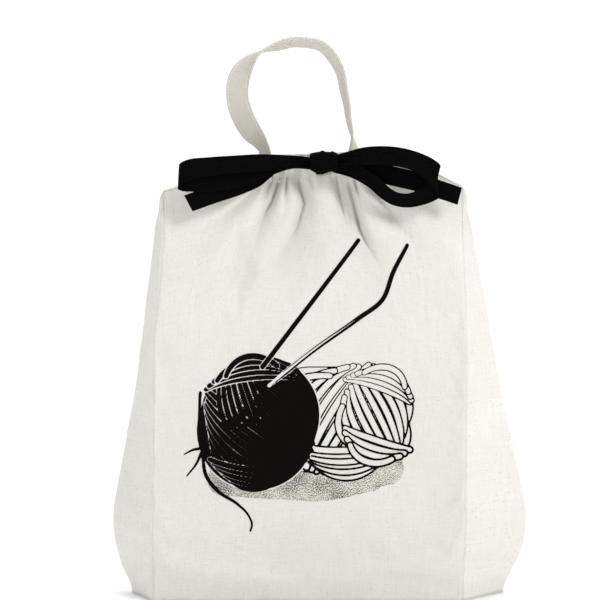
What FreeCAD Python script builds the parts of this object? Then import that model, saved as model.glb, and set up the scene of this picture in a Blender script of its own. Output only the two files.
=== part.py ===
"""Drawstring knitting bag of plain cotton, standing on its base.

Five cloth panels are seamed into a bag whose side gussets fold outwards.  A ribbon runs round the mouth
inside a casing and is tied in a bow at the front.  One cotton strap, sewn to the back of the mouth, is the
handle.  Millimetres, +Z up, the front faces -Y, and the origin is under the middle of the bag, on the ground.
"""
import FreeCAD, Part
import math
import os
import Sketcher

Vector = FreeCAD.Vector
doc = FreeCAD.newDocument("knitting_bag")

# ------------------------------------------------------------------ driving dimensions
DIMENSIONS = {
    # Cloth, ribbon, strap and thread.
    "cloth_thick": 1.2,
    "seam_wide": 8.0,
    "seam_thick": 1.6,
    "thread_wide": 0.8,
    "thread_thick": 0.3,
    "ribbon_wide": 15.0,
    "ribbon_thick": 0.8,
    "strap_wide": 20.0,
    "strap_thick": 1.6,
    # The bag's level sections, from the ground up: height, half depth, and where the front face and the
    # folded middle of each gusset stand, left and right of the origin.
    "base_up": 1.2,
    "base_deep": 50.0,
    "base_fold_left": 173.0,
    "base_face_left": 152.0,
    "base_face_right": 128.0,
    "base_fold_right": 168.0,
    "belly_up": 62.0,
    "belly_deep": 55.0,
    "belly_fold_left": 191.0,
    "belly_face_left": 153.0,
    "belly_face_right": 130.0,
    "belly_fold_right": 191.0,
    "chest_up": 230.0,
    "chest_deep": 39.0,
    "chest_fold_left": 166.5,
    "chest_face_left": 152.0,
    "chest_face_right": 133.0,
    "chest_fold_right": 160.5,
    "shoulder_up": 340.0,
    "mouth_deep": 13.0,
    "mouth_fold_left": 152.0,
    "mouth_face_left": 144.0,
    "mouth_face_right": 130.0,
    "mouth_fold_right": 138.0,
    "mouth_up": 412.0,
    # The line of the hem as the front shows it, from the left corner over the gathered neck to the right.
    "hem_left_up": 370.0,
    "neck_left_x": 48.0,
    "neck_left_up": 404.0,
    "neck_right_x": 30.0,
    "neck_right_up": 408.0,
    "hem_bend_x": 107.0,
    "hem_bend_up": 387.0,
    "hem_right_up": 373.0,
    # Casing under the hem, and the ribbon's place in it.
    "casing_tall": 24.0,
    "stitch_drop": 22.0,
    "ribbon_drop": 4.0,
    "play": 0.3,
    # The opening behind the knot where the ribbon's two ends come out.
    "exit_left_x": -5.0,
    "exit_right_x": 10.0,
    "exit_low": 388.0,
    "exit_high": 403.5,
    "exit_set_in": 2.0,
    # Knot of the bow.
    "knot_x": -10.5,
    "knot_wide": 26.5,
    "knot_deep": 18.0,
    "knot_back": 20.0,
    "knot_low": 389.0,
    "knot_tall": 20.5,
    "knot_round": 5.0,
    "knot_gap": 4.0,
    # Handle: where its two ends meet the hem, and the sewn ends below that line.
    "strap_left_x": -51.5,
    "strap_right_x": 31.0,
    "strap_root_up": 409.5,
    "strap_root_wide": 13.0,
    "strap_end_tall": 20.0,
    "strap_hinge_gap": 2.2,
    "stitch_set_in": 2.5,
}

sheet = doc.addObject("Spreadsheet::Sheet", "Size")
for row, (alias, size) in enumerate(DIMENSIONS.items(), start=1):
    sheet.set(f"A{row}", alias)
    sheet.set(f"B{row}", str(size))
    sheet.setAlias(f"B{row}", alias)
doc.recompute()

PARTS = []


def cell(alias):
    """The number in a cell of the sheet."""
    return float(sheet.get(alias))


# ------------------------------------------------------------------ helpers
def new_body(label):
    """An empty PartDesign body that becomes one sub-part."""
    body = doc.addObject("PartDesign::Body", label)
    body.Label = label
    PARTS.append(body)
    return body


def outline(body, name, role, corners, offset="0"):
    """A closed sketch of straight edges on one of the body's own planes, its corners bound to the sheet."""
    sketch = body.newObject("Sketcher::SketchObject", name)
    plane = next(plane for plane in body.Origin.OriginFeatures if plane.Role == role)
    sketch.AttachmentSupport = [(plane, "")]
    sketch.MapMode = "FlatFace"
    sketch.setExpression("AttachmentOffset.Base.z", offset)
    places = [Vector(*(float(sheet.evalExpression(text)) for text in corner), 0) for corner in corners]
    count = len(corners)
    for i in range(count):
        sketch.addGeometry(Part.LineSegment(places[i], places[(i + 1) % count]), False)
    for i in range(count):
        sketch.addConstraint(Sketcher.Constraint("Coincident", i, 2, (i + 1) % count, 1))
    for i, (across, along) in enumerate(corners):
        for kind, text, value in (("DistanceX", across, places[i].x), ("DistanceY", along, places[i].y)):
            index = sketch.addConstraint(Sketcher.Constraint(kind, -1, 1, i, 1, value))
            sketch.setExpression(f"Constraints[{index}]", text)
    return sketch


def pad(body, sketch, length):
    """A pad of the sketch, along the sketch's own normal."""
    made = body.newObject("PartDesign::Pad", f"{body.Name}_pad")
    made.Profile = sketch
    made.setExpression("Length", length)
    doc.recompute()
    return made


def loft(body, sketches):
    """A ruled loft through the sketches, from the ground up."""
    made = body.newObject("PartDesign::AdditiveLoft", f"{body.Name}_loft")
    made.Profile = sketches[0]
    made.Sections = sketches[1:]
    made.Ruled = True
    doc.recompute()
    return made


def pocket(body, sketch):
    """Cuts the sketch right through the body, both ways, and makes sure that it took something away."""
    before = body.Shape.Volume
    made = body.newObject("PartDesign::Pocket", f"{sketch.Name}_pocket")
    made.Profile = sketch
    made.Type = "ThroughAll"
    made.Midplane = True
    doc.recompute()
    if body.Shape.Volume >= before:
        raise RuntimeError(f"{made.Name} cuts nothing")
    return made


def strip_shape(stations, thick):
    """A flat strip through stations, each a middle, the direction of the width, and the width.

    Its faces are triangles, so that every one of them is flat even where the strip twists.
    """
    middles = [middle for middle, _, _ in stations]
    rings = []
    for i, (middle, across, wide) in enumerate(stations):
        along = (middles[min(i + 1, len(middles) - 1)] - middles[max(i - 1, 0)]).normalize()
        across = (across - along * across.dot(along)).normalize()
        side = across * (wide / 2)
        out = along.cross(across) * (thick / 2)
        rings.append([middle + side + out, middle - side + out, middle - side - out, middle + side - out])
    first, last = rings[0], rings[-1]
    triangles = [(first[0], first[1], first[2]), (first[0], first[2], first[3]),
                 (last[0], last[2], last[1]), (last[0], last[3], last[2])]
    for ring, following in zip(rings, rings[1:]):
        for i in range(4):
            k = (i + 1) % 4
            # Opposite faces are split along the same diagonal, which keeps the strip equally thick.
            if i < 2:
                triangles.append((ring[i], following[i], following[k]))
                triangles.append((ring[i], following[k], ring[k]))
            else:
                triangles.append((ring[i], following[i], ring[k]))
                triangles.append((following[i], following[k], ring[k]))
    faces = [Part.Face(Part.makePolygon([a, b, c, a])) for a, b, c in triangles]
    solid = Part.Solid(Part.Shell(faces))
    if solid.Volume < 0:
        solid.reverse()
    return solid


def strip(label, stations, thick):
    """A strip as a sub-part of its own."""
    made = doc.addObject("Part::Feature", label)
    made.Shape = strip_shape(stations, thick)
    made.Label = label
    made.Placement = FreeCAD.Placement()
    PARTS.append(made)
    return made


# ------------------------------------------------------------------ the bag's level sections
LEVELS = [("base", "base", "Size.base_up"), ("belly", "belly", "Size.belly_up"),
          ("chest", "chest", "Size.chest_up"), ("mouth", "shoulder", "Size.shoulder_up"),
          ("mouth", "top", "Size.mouth_up")]
THICK = "Size.cloth_thick"


def panel_sections(body, front):
    """The front or back panel's thin rectangle at every level."""
    sign = "-" if front else ""
    inwards = "+" if front else "-"
    sketches = []
    for level, place, height in LEVELS:
        left, right = f"-Size.{level}_face_left", f"Size.{level}_face_right"
        outer = f"{sign}Size.{level}_deep"
        inner = f"{outer} {inwards} {THICK}"
        corners = [(left, outer), (right, outer), (right, inner), (left, inner)]
        sketches.append(outline(body, f"{body.Name}_{place}", "XY_Plane", corners, height))
    return sketches


def gusset_sections(body, side):
    """A gusset's thin V at every level: from the front face out to the fold and back to the back face."""
    sign, inwards = ("-", "+") if side == "left" else ("", "-")
    sketches = []
    for level, place, height in LEVELS:
        edge = f"{sign}Size.{level}_face_{side}"
        fold = f"{sign}Size.{level}_fold_{side}"
        deep = f"Size.{level}_deep"
        corners = [(edge, f"-{deep}"), (fold, "0"), (edge, deep),
                   (edge, f"{deep} - {THICK}"), (f"{fold} {inwards} 1.3 * {THICK}", "0"),
                   (edge, f"-{deep} + {THICK}")]
        sketches.append(outline(body, f"{body.Name}_{place}", "XY_Plane", corners, height))
    return sketches


HEM_LINE = [("-Size.mouth_fold_left - 20", "Size.hem_left_up"),
            ("-Size.mouth_face_left", "Size.hem_left_up"),
            ("-Size.neck_left_x", "Size.neck_left_up"),
            ("Size.neck_right_x", "Size.neck_right_up"),
            ("Size.hem_bend_x", "Size.hem_bend_up"),
            ("Size.mouth_face_right", "Size.hem_right_up"),
            ("Size.mouth_fold_right + 20", "Size.hem_right_up")]


def above_hem(body):
    """The region above the hem, which every panel loses."""
    top = "Size.mouth_up + 5"
    corners = HEM_LINE + [(HEM_LINE[-1][0], top), (HEM_LINE[0][0], top)]
    return outline(body, f"{body.Name}_above_hem", "XZ_Plane", corners)


def hem_band(body, name, drop, tall, inset, offset):
    """A band that follows the hem between the two seams, dropped below it, as a sketch on an XZ plane."""
    line = [(f"-Size.mouth_face_left + {inset}", "Size.hem_left_up"), *HEM_LINE[2:5],
            (f"Size.mouth_face_right - {inset}", "Size.hem_right_up")]
    upper = [(across, f"{up} - {drop}") for across, up in line]
    lower = [(across, f"{up} - {drop} - {tall}") for across, up in reversed(line)]
    return outline(body, name, "XZ_Plane", upper + lower, offset)


# ------------------------------------------------------------------ cloth panels
front_panel = new_body("front_panel")
loft(front_panel, panel_sections(front_panel, front=True))
pocket(front_panel, above_hem(front_panel))

back_panel = new_body("back_panel")
loft(back_panel, panel_sections(back_panel, front=False))
pocket(back_panel, above_hem(back_panel))

for side in ("left", "right"):
    gusset = new_body(f"{side}_gusset")
    loft(gusset, gusset_sections(gusset, side))
    pocket(gusset, above_hem(gusset))

base_panel = new_body("base_panel")
base_corners = [("-Size.base_face_left", "-Size.base_deep"), ("Size.base_face_right", "-Size.base_deep"),
                ("Size.base_fold_right", "0"), ("Size.base_face_right", "Size.base_deep"),
                ("-Size.base_face_left", "Size.base_deep"), ("-Size.base_fold_left", "0")]
pad(base_panel, outline(base_panel, "base_outline", "XY_Plane", base_corners), "Size.base_up")

# ------------------------------------------------------------------ seams inside
SEAM_HEIGHTS = LEVELS[:4]
SEAMS = [("front_left_seam", "-", "left", "+", "-", "+"), ("front_right_seam", "", "right", "-", "-", "+"),
         ("back_left_seam", "-", "left", "+", "", "-"), ("back_right_seam", "", "right", "-", "", "-")]
for label, sign, side, inwards, deep_sign, deep_inwards in SEAMS:
    seam = new_body(label)
    sketches = []
    for level, place, height in SEAM_HEIGHTS:
        edge = f"{sign}Size.{level}_face_{side} {inwards} Size.play"
        far_edge = f"{edge} {inwards} Size.seam_thick"
        outer = f"{deep_sign}Size.{level}_deep {deep_inwards} {THICK}"
        inner = f"{outer} {deep_inwards} Size.seam_wide"
        if level == "mouth":
            inner = f"{outer} {deep_inwards} 0.4 * Size.seam_wide"
        if level == "base":
            height = "Size.base_up + Size.seam_wide + Size.play"
        corners = [(edge, outer), (far_edge, outer), (far_edge, inner), (edge, inner)]
        sketches.append(outline(seam, f"{label}_{place}", "XY_Plane", corners, height))
    loft(seam, sketches)

base_seam = new_body("base_seam")
RING_THICK = "(Size.cloth_thick + Size.seam_thick)"


def base_ring(body, name, inset):
    """The base's outline, drawn in by that much, on the upper face of the base panel."""
    corners = [(f"-Size.base_face_left + {inset}", f"-Size.base_deep + {inset}"),
               (f"Size.base_face_right - {inset}", f"-Size.base_deep + {inset}"),
               (f"Size.base_fold_right - 1.3 * {inset}", "0"),
               (f"Size.base_face_right - {inset}", f"Size.base_deep - {inset}"),
               (f"-Size.base_face_left + {inset}", f"Size.base_deep - {inset}"),
               (f"-Size.base_fold_left + 1.3 * {inset}", "0")]
    return outline(body, name, "XY_Plane", corners, "Size.base_up")


pad(base_seam, base_ring(base_seam, "base_seam_outer", THICK), "Size.seam_wide")
pocket(base_seam, base_ring(base_seam, "base_seam_inner", RING_THICK))

# ------------------------------------------------------------------ casing round the mouth
CASING_FACE = f"(Size.mouth_deep - 2 * {THICK} - Size.ribbon_thick - 2 * Size.play)"
RIBBON_FACE = f"(Size.mouth_deep - {THICK} - Size.ribbon_thick - Size.play)"
CASING_INSET = "2"

for side, casing_offset, stitch_offset in (
        ("front", CASING_FACE, "Size.mouth_deep"),
        ("back", f"-{CASING_FACE} - {THICK}", "-Size.mouth_deep - Size.thread_thick")):
    casing = new_body(f"{side}_casing")
    pad(casing, hem_band(casing, f"{side}_casing_band", "Size.play", "Size.casing_tall", CASING_INSET,
                         casing_offset), THICK)
    stitching = new_body(f"{side}_hem_stitching")
    pad(stitching, hem_band(stitching, f"{side}_stitch_band", "Size.stitch_drop", "Size.thread_wide",
                            CASING_INSET, stitch_offset), "Size.thread_thick")

# The two ends of the ribbon come out of the casing through a gap behind the knot.
exit_corners = [("Size.exit_left_x", "Size.exit_low"), ("Size.exit_right_x", "Size.exit_low"),
                ("Size.exit_right_x", "Size.exit_high"), ("Size.exit_left_x", "Size.exit_high")]
exit_cut = front_panel.newObject("PartDesign::Pocket", "ribbon_exit")
exit_cut.Profile = outline(front_panel, "ribbon_exit_outline", "XZ_Plane", exit_corners)
exit_cut.Type = "ThroughAll"
exit_cut.Reversed = True
uncut = front_panel.Shape.Volume
doc.recompute()
if front_panel.Shape.Volume >= uncut:
    raise RuntimeError("the ribbon's exit cuts nothing")

# ------------------------------------------------------------------ ribbon round the mouth
ribbon_run = new_body("ribbon_run")
RUN = ("Size.ribbon_drop", "Size.ribbon_wide", "Size.play")
pad(ribbon_run, hem_band(ribbon_run, "run_front", *RUN, RIBBON_FACE), "Size.ribbon_thick")
for side, sign, outwards in (("left", "-", "+"), ("right", "", "-")):
    near = f"{sign}Size.mouth_face_{side} {outwards} Size.play"
    far = f"{near} {outwards} Size.ribbon_thick"
    reach = f"{RIBBON_FACE} + Size.ribbon_thick"
    corners = [(near, f"-({reach})"), (far, f"-({reach})"), (far, reach), (near, reach)]
    low = f"Size.hem_{side}_up - Size.ribbon_drop - Size.ribbon_wide"
    turn = outline(ribbon_run, f"run_turn_{side}", "XY_Plane", corners, low)
    pad(ribbon_run, turn, "Size.ribbon_wide")
    if side == "left":
        back = hem_band(ribbon_run, "run_back", *RUN, f"-{RIBBON_FACE} - Size.ribbon_thick")
        pad(ribbon_run, back, "Size.ribbon_thick")
for side, start in (("left", "Size.exit_left_x + Size.exit_set_in"),
                    ("right", "Size.exit_right_x - Size.exit_set_in - Size.ribbon_thick")):
    end = f"{start} + Size.ribbon_thick"
    corners = [(start, f"-{RIBBON_FACE}"), (end, f"-{RIBBON_FACE}"), (end, "-Size.knot_back"),
               (start, "-Size.knot_back")]
    low = "Size.exit_low + Size.exit_set_in"
    tongue = outline(ribbon_run, f"run_exit_{side}", "XY_Plane", corners, low)
    pad(ribbon_run, tongue, "Size.exit_high - Size.exit_low - 2 * Size.exit_set_in")

# ------------------------------------------------------------------ bow
knot_block = doc.addObject("Part::Box", "knot_block")
for name, text in (("Length", "Size.knot_wide"), ("Width", "Size.knot_deep"), ("Height", "Size.knot_tall"),
                   ("Placement.Base.x", "Size.knot_x"), ("Placement.Base.z", "Size.knot_low"),
                   ("Placement.Base.y", "-Size.knot_back - Size.knot_deep")):
    knot_block.setExpression(name, text)
doc.recompute()
bow_knot = doc.addObject("Part::Fillet", "bow_knot")
bow_knot.Base = knot_block
radius = cell("knot_round")
bow_knot.Edges = [(number, radius, radius) for number in range(1, len(knot_block.Shape.Edges) + 1)]
bow_knot.Label = "bow_knot"
PARTS.append(bow_knot)

KNOT_LEFT = cell("knot_x") - cell("knot_gap")
KNOT_RIGHT = cell("knot_x") + cell("knot_wide") + cell("knot_gap")
RIBBON = cell("ribbon_wide")
RIBBON_MID = 0.93 * RIBBON
RIBBON_ROOT = 0.55 * RIBBON


def ribbon(label, points):
    """A ribbon whose width stands upright as far as its course allows: points hold x, y, z and the width."""
    stations = [(Vector(x, y, z), Vector(0, 0, 1), wide) for x, y, z, wide in points]
    return strip(label, stations, cell("ribbon_thick"))


# Each loop runs out along the front, folds over at its far end and comes back behind.
ribbon("left_bow_loop", [
    (KNOT_LEFT, -32, 399, RIBBON_ROOT), (KNOT_LEFT - 5, -32, 399, RIBBON_ROOT),
    (-40, -37.5, 399, RIBBON_MID), (-75, -40, 397, RIBBON),
    (-105, -39, 393, RIBBON), (-122, -37, 389, RIBBON), (-128.5, -33.5, 386.5, RIBBON),
    (-122, -30.5, 384, RIBBON), (-100, -30, 380, RIBBON), (-70, -30, 379, RIBBON),
    (-40, -30, 386, RIBBON_MID), (KNOT_LEFT - 5, -29, 397.5, RIBBON_ROOT),
    (KNOT_LEFT, -29, 398.5, RIBBON_ROOT)])
ribbon("right_bow_loop", [
    (KNOT_RIGHT, -32, 400, RIBBON_ROOT), (KNOT_RIGHT + 5, -32, 400, RIBBON_ROOT),
    (45, -38, 403, RIBBON_MID), (70, -40, 404, RIBBON),
    (92, -39, 399, RIBBON), (104, -36, 391, RIBBON), (107.5, -33, 384, RIBBON),
    (103, -30.5, 376, RIBBON), (90, -30, 369, RIBBON), (70, -30, 366, RIBBON),
    (48, -30, 375, RIBBON_MID), (KNOT_RIGHT + 5, -29, 395, RIBBON_ROOT),
    (KNOT_RIGHT, -29, 396.5, RIBBON_ROOT)])

# The tails hang in a plane that leans forward with the cloth behind them.
TAIL_TOP = 393.0
TAIL_PLANE = -21.8
TAIL_LEAN = 10.0


def tail(label, points):
    """A ribbon tail through points that hold x, z and the width, on the leaning plane."""
    lean = math.tan(math.radians(TAIL_LEAN))
    return ribbon(label, [(x, TAIL_PLANE - lean * (TAIL_TOP - z), z, wide) for x, z, wide in points])


tail("left_tail", [(KNOT_LEFT, 392, RIBBON_ROOT), (KNOT_LEFT - 5, 391.5, RIBBON_ROOT),
                   (-50, 382, RIBBON_MID), (-90, 370, RIBBON),
                   (-120.5, 361.5, RIBBON)])
tail("right_tail", [(KNOT_RIGHT, 393.5, RIBBON_ROOT), (KNOT_RIGHT + 5, 393, RIBBON_ROOT),
                    (60, 386, RIBBON_MID), (100, 374, RIBBON),
                    (126.5, 366.5, RIBBON)])

# ------------------------------------------------------------------ handle
STRAP = cell("strap_wide")
ROOT = cell("strap_root_wide")
LEFT_X = cell("strap_left_x")
RIGHT_X = cell("strap_right_x")
ROOT_UP = cell("strap_root_up") + cell("play")
STRAP_Y = cell("mouth_deep") + cell("strap_thick") / 2


def handle(points):
    """The handle through points: x, z, the strap's twist out of the bag's plane, and its width."""
    stations = []
    for i, (x, z, twist, wide) in enumerate(points):
        before, after = points[max(i - 1, 0)], points[min(i + 1, len(points) - 1)]
        along = Vector(after[0] - before[0], 0, after[1] - before[1]).normalize()
        if i in (0, len(points) - 1):
            along = Vector(0, 0, 1 if i == 0 else -1)
        in_plane = along.cross(Vector(0, 1, 0))
        turn = math.radians(twist)
        stations.append((Vector(x, STRAP_Y, z), in_plane * math.cos(turn) + Vector(0, 1, 0) * math.sin(turn),
                         wide))
    return strip("handle_strap", stations, cell("strap_thick"))


handle([(LEFT_X, ROOT_UP, 0, ROOT), (LEFT_X, ROOT_UP + 4, 0, ROOT),
        (-57, 419, 12, 15), (-63.5, 425, 14, 18), (-71.5, 439.5, 5, STRAP),
        (-77, 459, 0, STRAP), (-75, 476.5, 14, STRAP), (-68.5, 488, 48, STRAP), (-57.5, 498, 85, STRAP),
        (-42, 505, 106, STRAP), (-18.9, 509.3, 110, STRAP), (-2.3, 506.5, 112, STRAP),
        (11, 495.5, 112, STRAP), (18, 481, 110, STRAP), (22.5, 461, 104, STRAP), (25.3, 440, 95, STRAP),
        (29, 424, 55, 16), (RIGHT_X, ROOT_UP + 4, 0, ROOT), (RIGHT_X, ROOT_UP, 0, ROOT)])


def block(name, low, high):
    """A box between two corners, each three expressions."""
    made = doc.addObject("Part::Box", name)
    for size, axis, start, end in zip(("Length", "Width", "Height"), "xyz", low, high):
        made.setExpression(size, f"({end}) - ({start})")
        made.setExpression(f"Placement.Base.{axis}", start)
    return made


# The strap's two ends are sewn flat to the outside of the back hem, each with a box of stitches.
for side in ("left", "right"):
    middle, half = f"Size.strap_{side}_x", "Size.strap_root_wide / 2"
    inner_face = "Size.mouth_deep"
    outer_face = f"{inner_face} + Size.strap_thick"
    top = "Size.strap_root_up - Size.strap_hinge_gap"
    low = f"{top} - Size.strap_end_tall"
    end = block(f"{side}_strap_end", (f"{middle} - {half}", inner_face, low),
                (f"{middle} + {half}", outer_face, top))
    end.Label = f"{side}_strap_end"
    PARTS.append(end)
    rows = []
    for row, inset in (("outer", "Size.stitch_set_in"), ("inner", "(Size.stitch_set_in + Size.thread_wide)")):
        rows.append(block(f"{side}_stitch_{row}",
                          (f"{middle} - {half} + {inset}", outer_face, f"{low} + {inset}"),
                          (f"{middle} + {half} - {inset}", f"{outer_face} + Size.thread_thick",
                           f"{top} - 3 * {inset}")))
    stitches = doc.addObject("Part::Cut", f"{side}_strap_stitching")
    stitches.Base, stitches.Tool = rows
    stitches.Label = f"{side}_strap_stitching"
    PARTS.append(stitches)

# ------------------------------------------------------------------ check and write
doc.recompute()
for thing in doc.Objects:
    if {"Invalid", "Error"} & set(thing.State):
        raise RuntimeError(f"{thing.Label} failed: {thing.State}")
for thing in PARTS:
    if thing.Shape.isNull() or not thing.Shape.isValid() or len(thing.Shape.Solids) != 1:
        raise RuntimeError(f"{thing.Label} is not one valid solid")

os.makedirs("parts", exist_ok=True)
for thing in PARTS:
    thing.Shape.exportStep(f"parts/{thing.Label}.step")
    box = thing.Shape.BoundBox
    print(f"{thing.Label}: {thing.Shape.Volume:.0f} mm3, "
          f"x {box.XMin:.1f} to {box.XMax:.1f}, y {box.YMin:.1f} to {box.YMax:.1f}, "
          f"z {box.ZMin:.1f} to {box.ZMax:.1f}")
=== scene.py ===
# %% [markdown]
# # A drawstring knitting bag
#
# This lesson builds the cloth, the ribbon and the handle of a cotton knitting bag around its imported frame.
# The frame is a plain CAD model: it knows where every piece is, how large it is and how it moves. What is
# made here is how the pieces look. Every length is in metres, +Z is up, and the printed front of the bag
# faces -Y.

# %% Load the frame
import math
import random

import bpy
import numpy as np
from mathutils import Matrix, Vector
from mathutils.bvhtree import BVHTree


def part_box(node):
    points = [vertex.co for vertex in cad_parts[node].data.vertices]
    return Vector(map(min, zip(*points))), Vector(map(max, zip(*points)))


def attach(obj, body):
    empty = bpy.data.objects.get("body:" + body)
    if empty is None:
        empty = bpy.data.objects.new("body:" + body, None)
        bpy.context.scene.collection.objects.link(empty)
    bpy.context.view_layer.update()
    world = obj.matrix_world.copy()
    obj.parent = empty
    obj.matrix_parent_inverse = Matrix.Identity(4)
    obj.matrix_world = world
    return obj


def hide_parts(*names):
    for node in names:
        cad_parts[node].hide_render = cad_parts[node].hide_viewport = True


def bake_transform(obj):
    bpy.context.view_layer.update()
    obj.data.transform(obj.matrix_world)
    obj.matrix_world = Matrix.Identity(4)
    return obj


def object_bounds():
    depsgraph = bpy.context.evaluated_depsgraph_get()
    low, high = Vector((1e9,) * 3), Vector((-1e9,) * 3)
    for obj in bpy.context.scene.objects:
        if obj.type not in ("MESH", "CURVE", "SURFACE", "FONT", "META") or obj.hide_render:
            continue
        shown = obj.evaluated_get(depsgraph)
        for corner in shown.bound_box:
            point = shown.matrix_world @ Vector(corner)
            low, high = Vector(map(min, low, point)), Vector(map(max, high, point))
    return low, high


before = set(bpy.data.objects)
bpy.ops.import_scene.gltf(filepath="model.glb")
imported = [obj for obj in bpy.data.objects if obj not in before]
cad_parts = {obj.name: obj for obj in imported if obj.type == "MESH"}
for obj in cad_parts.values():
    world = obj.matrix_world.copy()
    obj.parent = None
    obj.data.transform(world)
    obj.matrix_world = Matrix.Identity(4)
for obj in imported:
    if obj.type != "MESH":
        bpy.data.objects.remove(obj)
cad_low, cad_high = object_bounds()
print("CAD box", [round(v, 3) for v in (*cad_low, *cad_high)])


# %% [markdown]
# ## Camera
#
# A product like this is looked at straight on, from a few degrees above its middle. A long lens keeps the
# sides of the bag parallel, so the camera stands more than two metres away. The place that it looks at is a
# little left of the bag's middle, because the handle and the print sit to the left as well.

# %% Camera
CAMERA_AWAY = 2.3
CAMERA_LIFT = math.radians(3.5)
VIEW_WIDE = 0.553
AIM = Vector((-0.019, 0.0, 0.272))

camera_data = bpy.data.cameras.new("camera")
camera_data.sensor_width = 36.0
camera_data.lens = camera_data.sensor_width * CAMERA_AWAY / VIEW_WIDE
camera = bpy.data.objects.new("camera", camera_data)
bpy.context.scene.collection.objects.link(camera)
back = Vector((0.0, -math.cos(CAMERA_LIFT), math.sin(CAMERA_LIFT)))
camera.location = AIM + back * CAMERA_AWAY
camera.rotation_euler = (-back).to_track_quat("-Z", "Y").to_euler()
bpy.context.scene.camera = camera
print("lens", round(camera_data.lens, 1), "mm")


# %% [markdown]
# ## Small tools of the workshop
#
# A piece here starts as a flat grid, the way cloth starts as a flat cut, and a rule then says where each of
# its points goes. Grids come from the Grid primitive. Their points are numbered row by row, so that a rule
# that takes the share across and the share along can place them all at once.

# %% Workshop tools
def deselect():
    """Nothing is selected or active, so that the next operator works on new pieces only."""
    if bpy.context.object and bpy.context.object.mode != "OBJECT":
        bpy.ops.object.mode_set(mode="OBJECT")
    bpy.ops.object.select_all(action="DESELECT")
    bpy.context.view_layer.objects.active = None


def pick(piece):
    """Selects one piece and makes it the active one."""
    deselect()
    piece.select_set(True)
    bpy.context.view_layer.objects.active = piece
    return piece


def cloth_grid(name, across, along):
    """A flat grid of that many cells, its points in rows: returns it with each point's two shares."""
    deselect()
    bpy.ops.mesh.primitive_grid_add(x_subdivisions=across, y_subdivisions=along, size=1.0)
    piece = bpy.context.object
    piece.name = piece.data.name = name
    flat = points_of(piece)
    return piece, flat[:, 0] + 0.5, 0.5 - flat[:, 1]


def points_of(piece):
    """The piece's points as rows of x, y and z."""
    flat = np.empty(len(piece.data.vertices) * 3)
    piece.data.vertices.foreach_get("co", flat)
    return flat.reshape(-1, 3)


def place_points(piece, places):
    """Moves the piece's points to the rows of x, y and z."""
    piece.data.vertices.foreach_set("co", np.ascontiguousarray(places, dtype=float).ravel())
    piece.data.update()


def cloth_uv(piece, across, along):
    """Gives the piece a UV map in metres of cloth, so that a weave follows its folds."""
    layer = piece.data.uv_layers.active or piece.data.uv_layers.new(name="cloth")
    loops = np.empty(len(piece.data.loops), dtype=int)
    piece.data.loops.foreach_get("vertex_index", loops)
    uv = np.stack([across[loops], along[loops]], axis=1)
    layer.data.foreach_set("uv", uv.ravel())


def add_modifier(piece, name, kind, **settings):
    """Adds a modifier with its settings and applies it."""
    pick(piece)
    made = piece.modifiers.new(name, kind)
    for key, value in settings.items():
        setattr(made, key, value)
    bpy.ops.object.modifier_apply(modifier=made.name)


def smooth(piece):
    """Shades the piece smooth."""
    pick(piece)
    bpy.ops.object.shade_smooth()


def ease(share):
    """A soft step from 0 to 1."""
    share = np.clip(share, 0.0, 1.0)
    return share * share * (3.0 - 2.0 * share)


# %% [markdown]
# ## The bag's outline, read from the frame
#
# The CAD panels are flat between a few levels. The visual bag follows the same outline, but rounds the
# levels off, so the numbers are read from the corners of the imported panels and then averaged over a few
# centimetres.

# %% Outline from the frame
ROUNDING = 0.022
FLAT_SIDED_BELOW = 0.36
SAME_LEVEL = 0.001


def fold_line(node, pick_value):
    """The heights of a gusset's levels, and how far out its fold is at each."""
    places = points_of(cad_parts[node])
    places = places[(places[:, 2] < FLAT_SIDED_BELOW) & (np.abs(places[:, 1]) < 1e-4)]
    heights = np.unique(np.round(places[:, 2], 3))
    return heights, np.array([pick_value(places[np.abs(places[:, 2] - height) < SAME_LEVEL, 0])
                              for height in heights])


def panel_line(column, pick_value):
    """The back panel's edge along one axis, at the gussets' levels."""
    places = points_of(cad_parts["back_panel"])
    levels = LINES["fold_left"][0]
    return levels, np.array([pick_value(places[np.abs(places[:, 2] - level) < SAME_LEVEL, column])
                             for level in levels])


LINES = {"fold_left": fold_line("left_gusset", np.min), "fold_right": fold_line("right_gusset", np.max)}
LINES["deep"] = panel_line(1, np.max)
LINES["face_left"] = panel_line(0, np.min)
LINES["face_right"] = panel_line(0, np.max)
for name, (heights, values) in LINES.items():
    print(name, np.round(heights, 3), np.round(values, 3))


def outline(name, height):
    """One of the outline's values at a height, averaged a little above and below."""
    steps = np.linspace(-ROUNDING, ROUNDING, 7)
    return sum(np.interp(height + step, *LINES[name]) for step in steps) / len(steps)


# %% [markdown]
# ## The hem line and where the cloth goes along it
#
# The mouth's hem climbs from each top corner over a shoulder to the neck, where the ribbon draws the cloth
# together. Half of the front's cloth is in that short neck. So the share of the cloth across the front is
# not the share of the width: a table of a few points says which share of the cloth has reached which place.

# %% Hem line
panel_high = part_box("front_panel")[1]
gusset_left_high, gusset_right_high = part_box("left_gusset")[1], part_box("right_gusset")[1]
NECK_LEFT = -0.049
NECK_RIGHT = 0.034
CORNER_LEFT = float(outline("face_left", 0.35))
CORNER_RIGHT = float(outline("face_right", 0.35))
HEM_X = np.array([CORNER_LEFT - 0.02, CORNER_LEFT, NECK_LEFT, NECK_RIGHT, 0.107, CORNER_RIGHT,
                  CORNER_RIGHT + 0.02])
HEM_Z = np.array([gusset_left_high.z, gusset_left_high.z + 0.001, 0.4035, panel_high.z - 0.001, 0.388,
                  gusset_right_high.z + 0.002, gusset_right_high.z])
CLOTH_SHARE = np.array([0.0, 0.24, 0.76, 1.0])
CLOTH_REACH = np.array([CORNER_LEFT, NECK_LEFT, NECK_RIGHT, CORNER_RIGHT])


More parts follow.
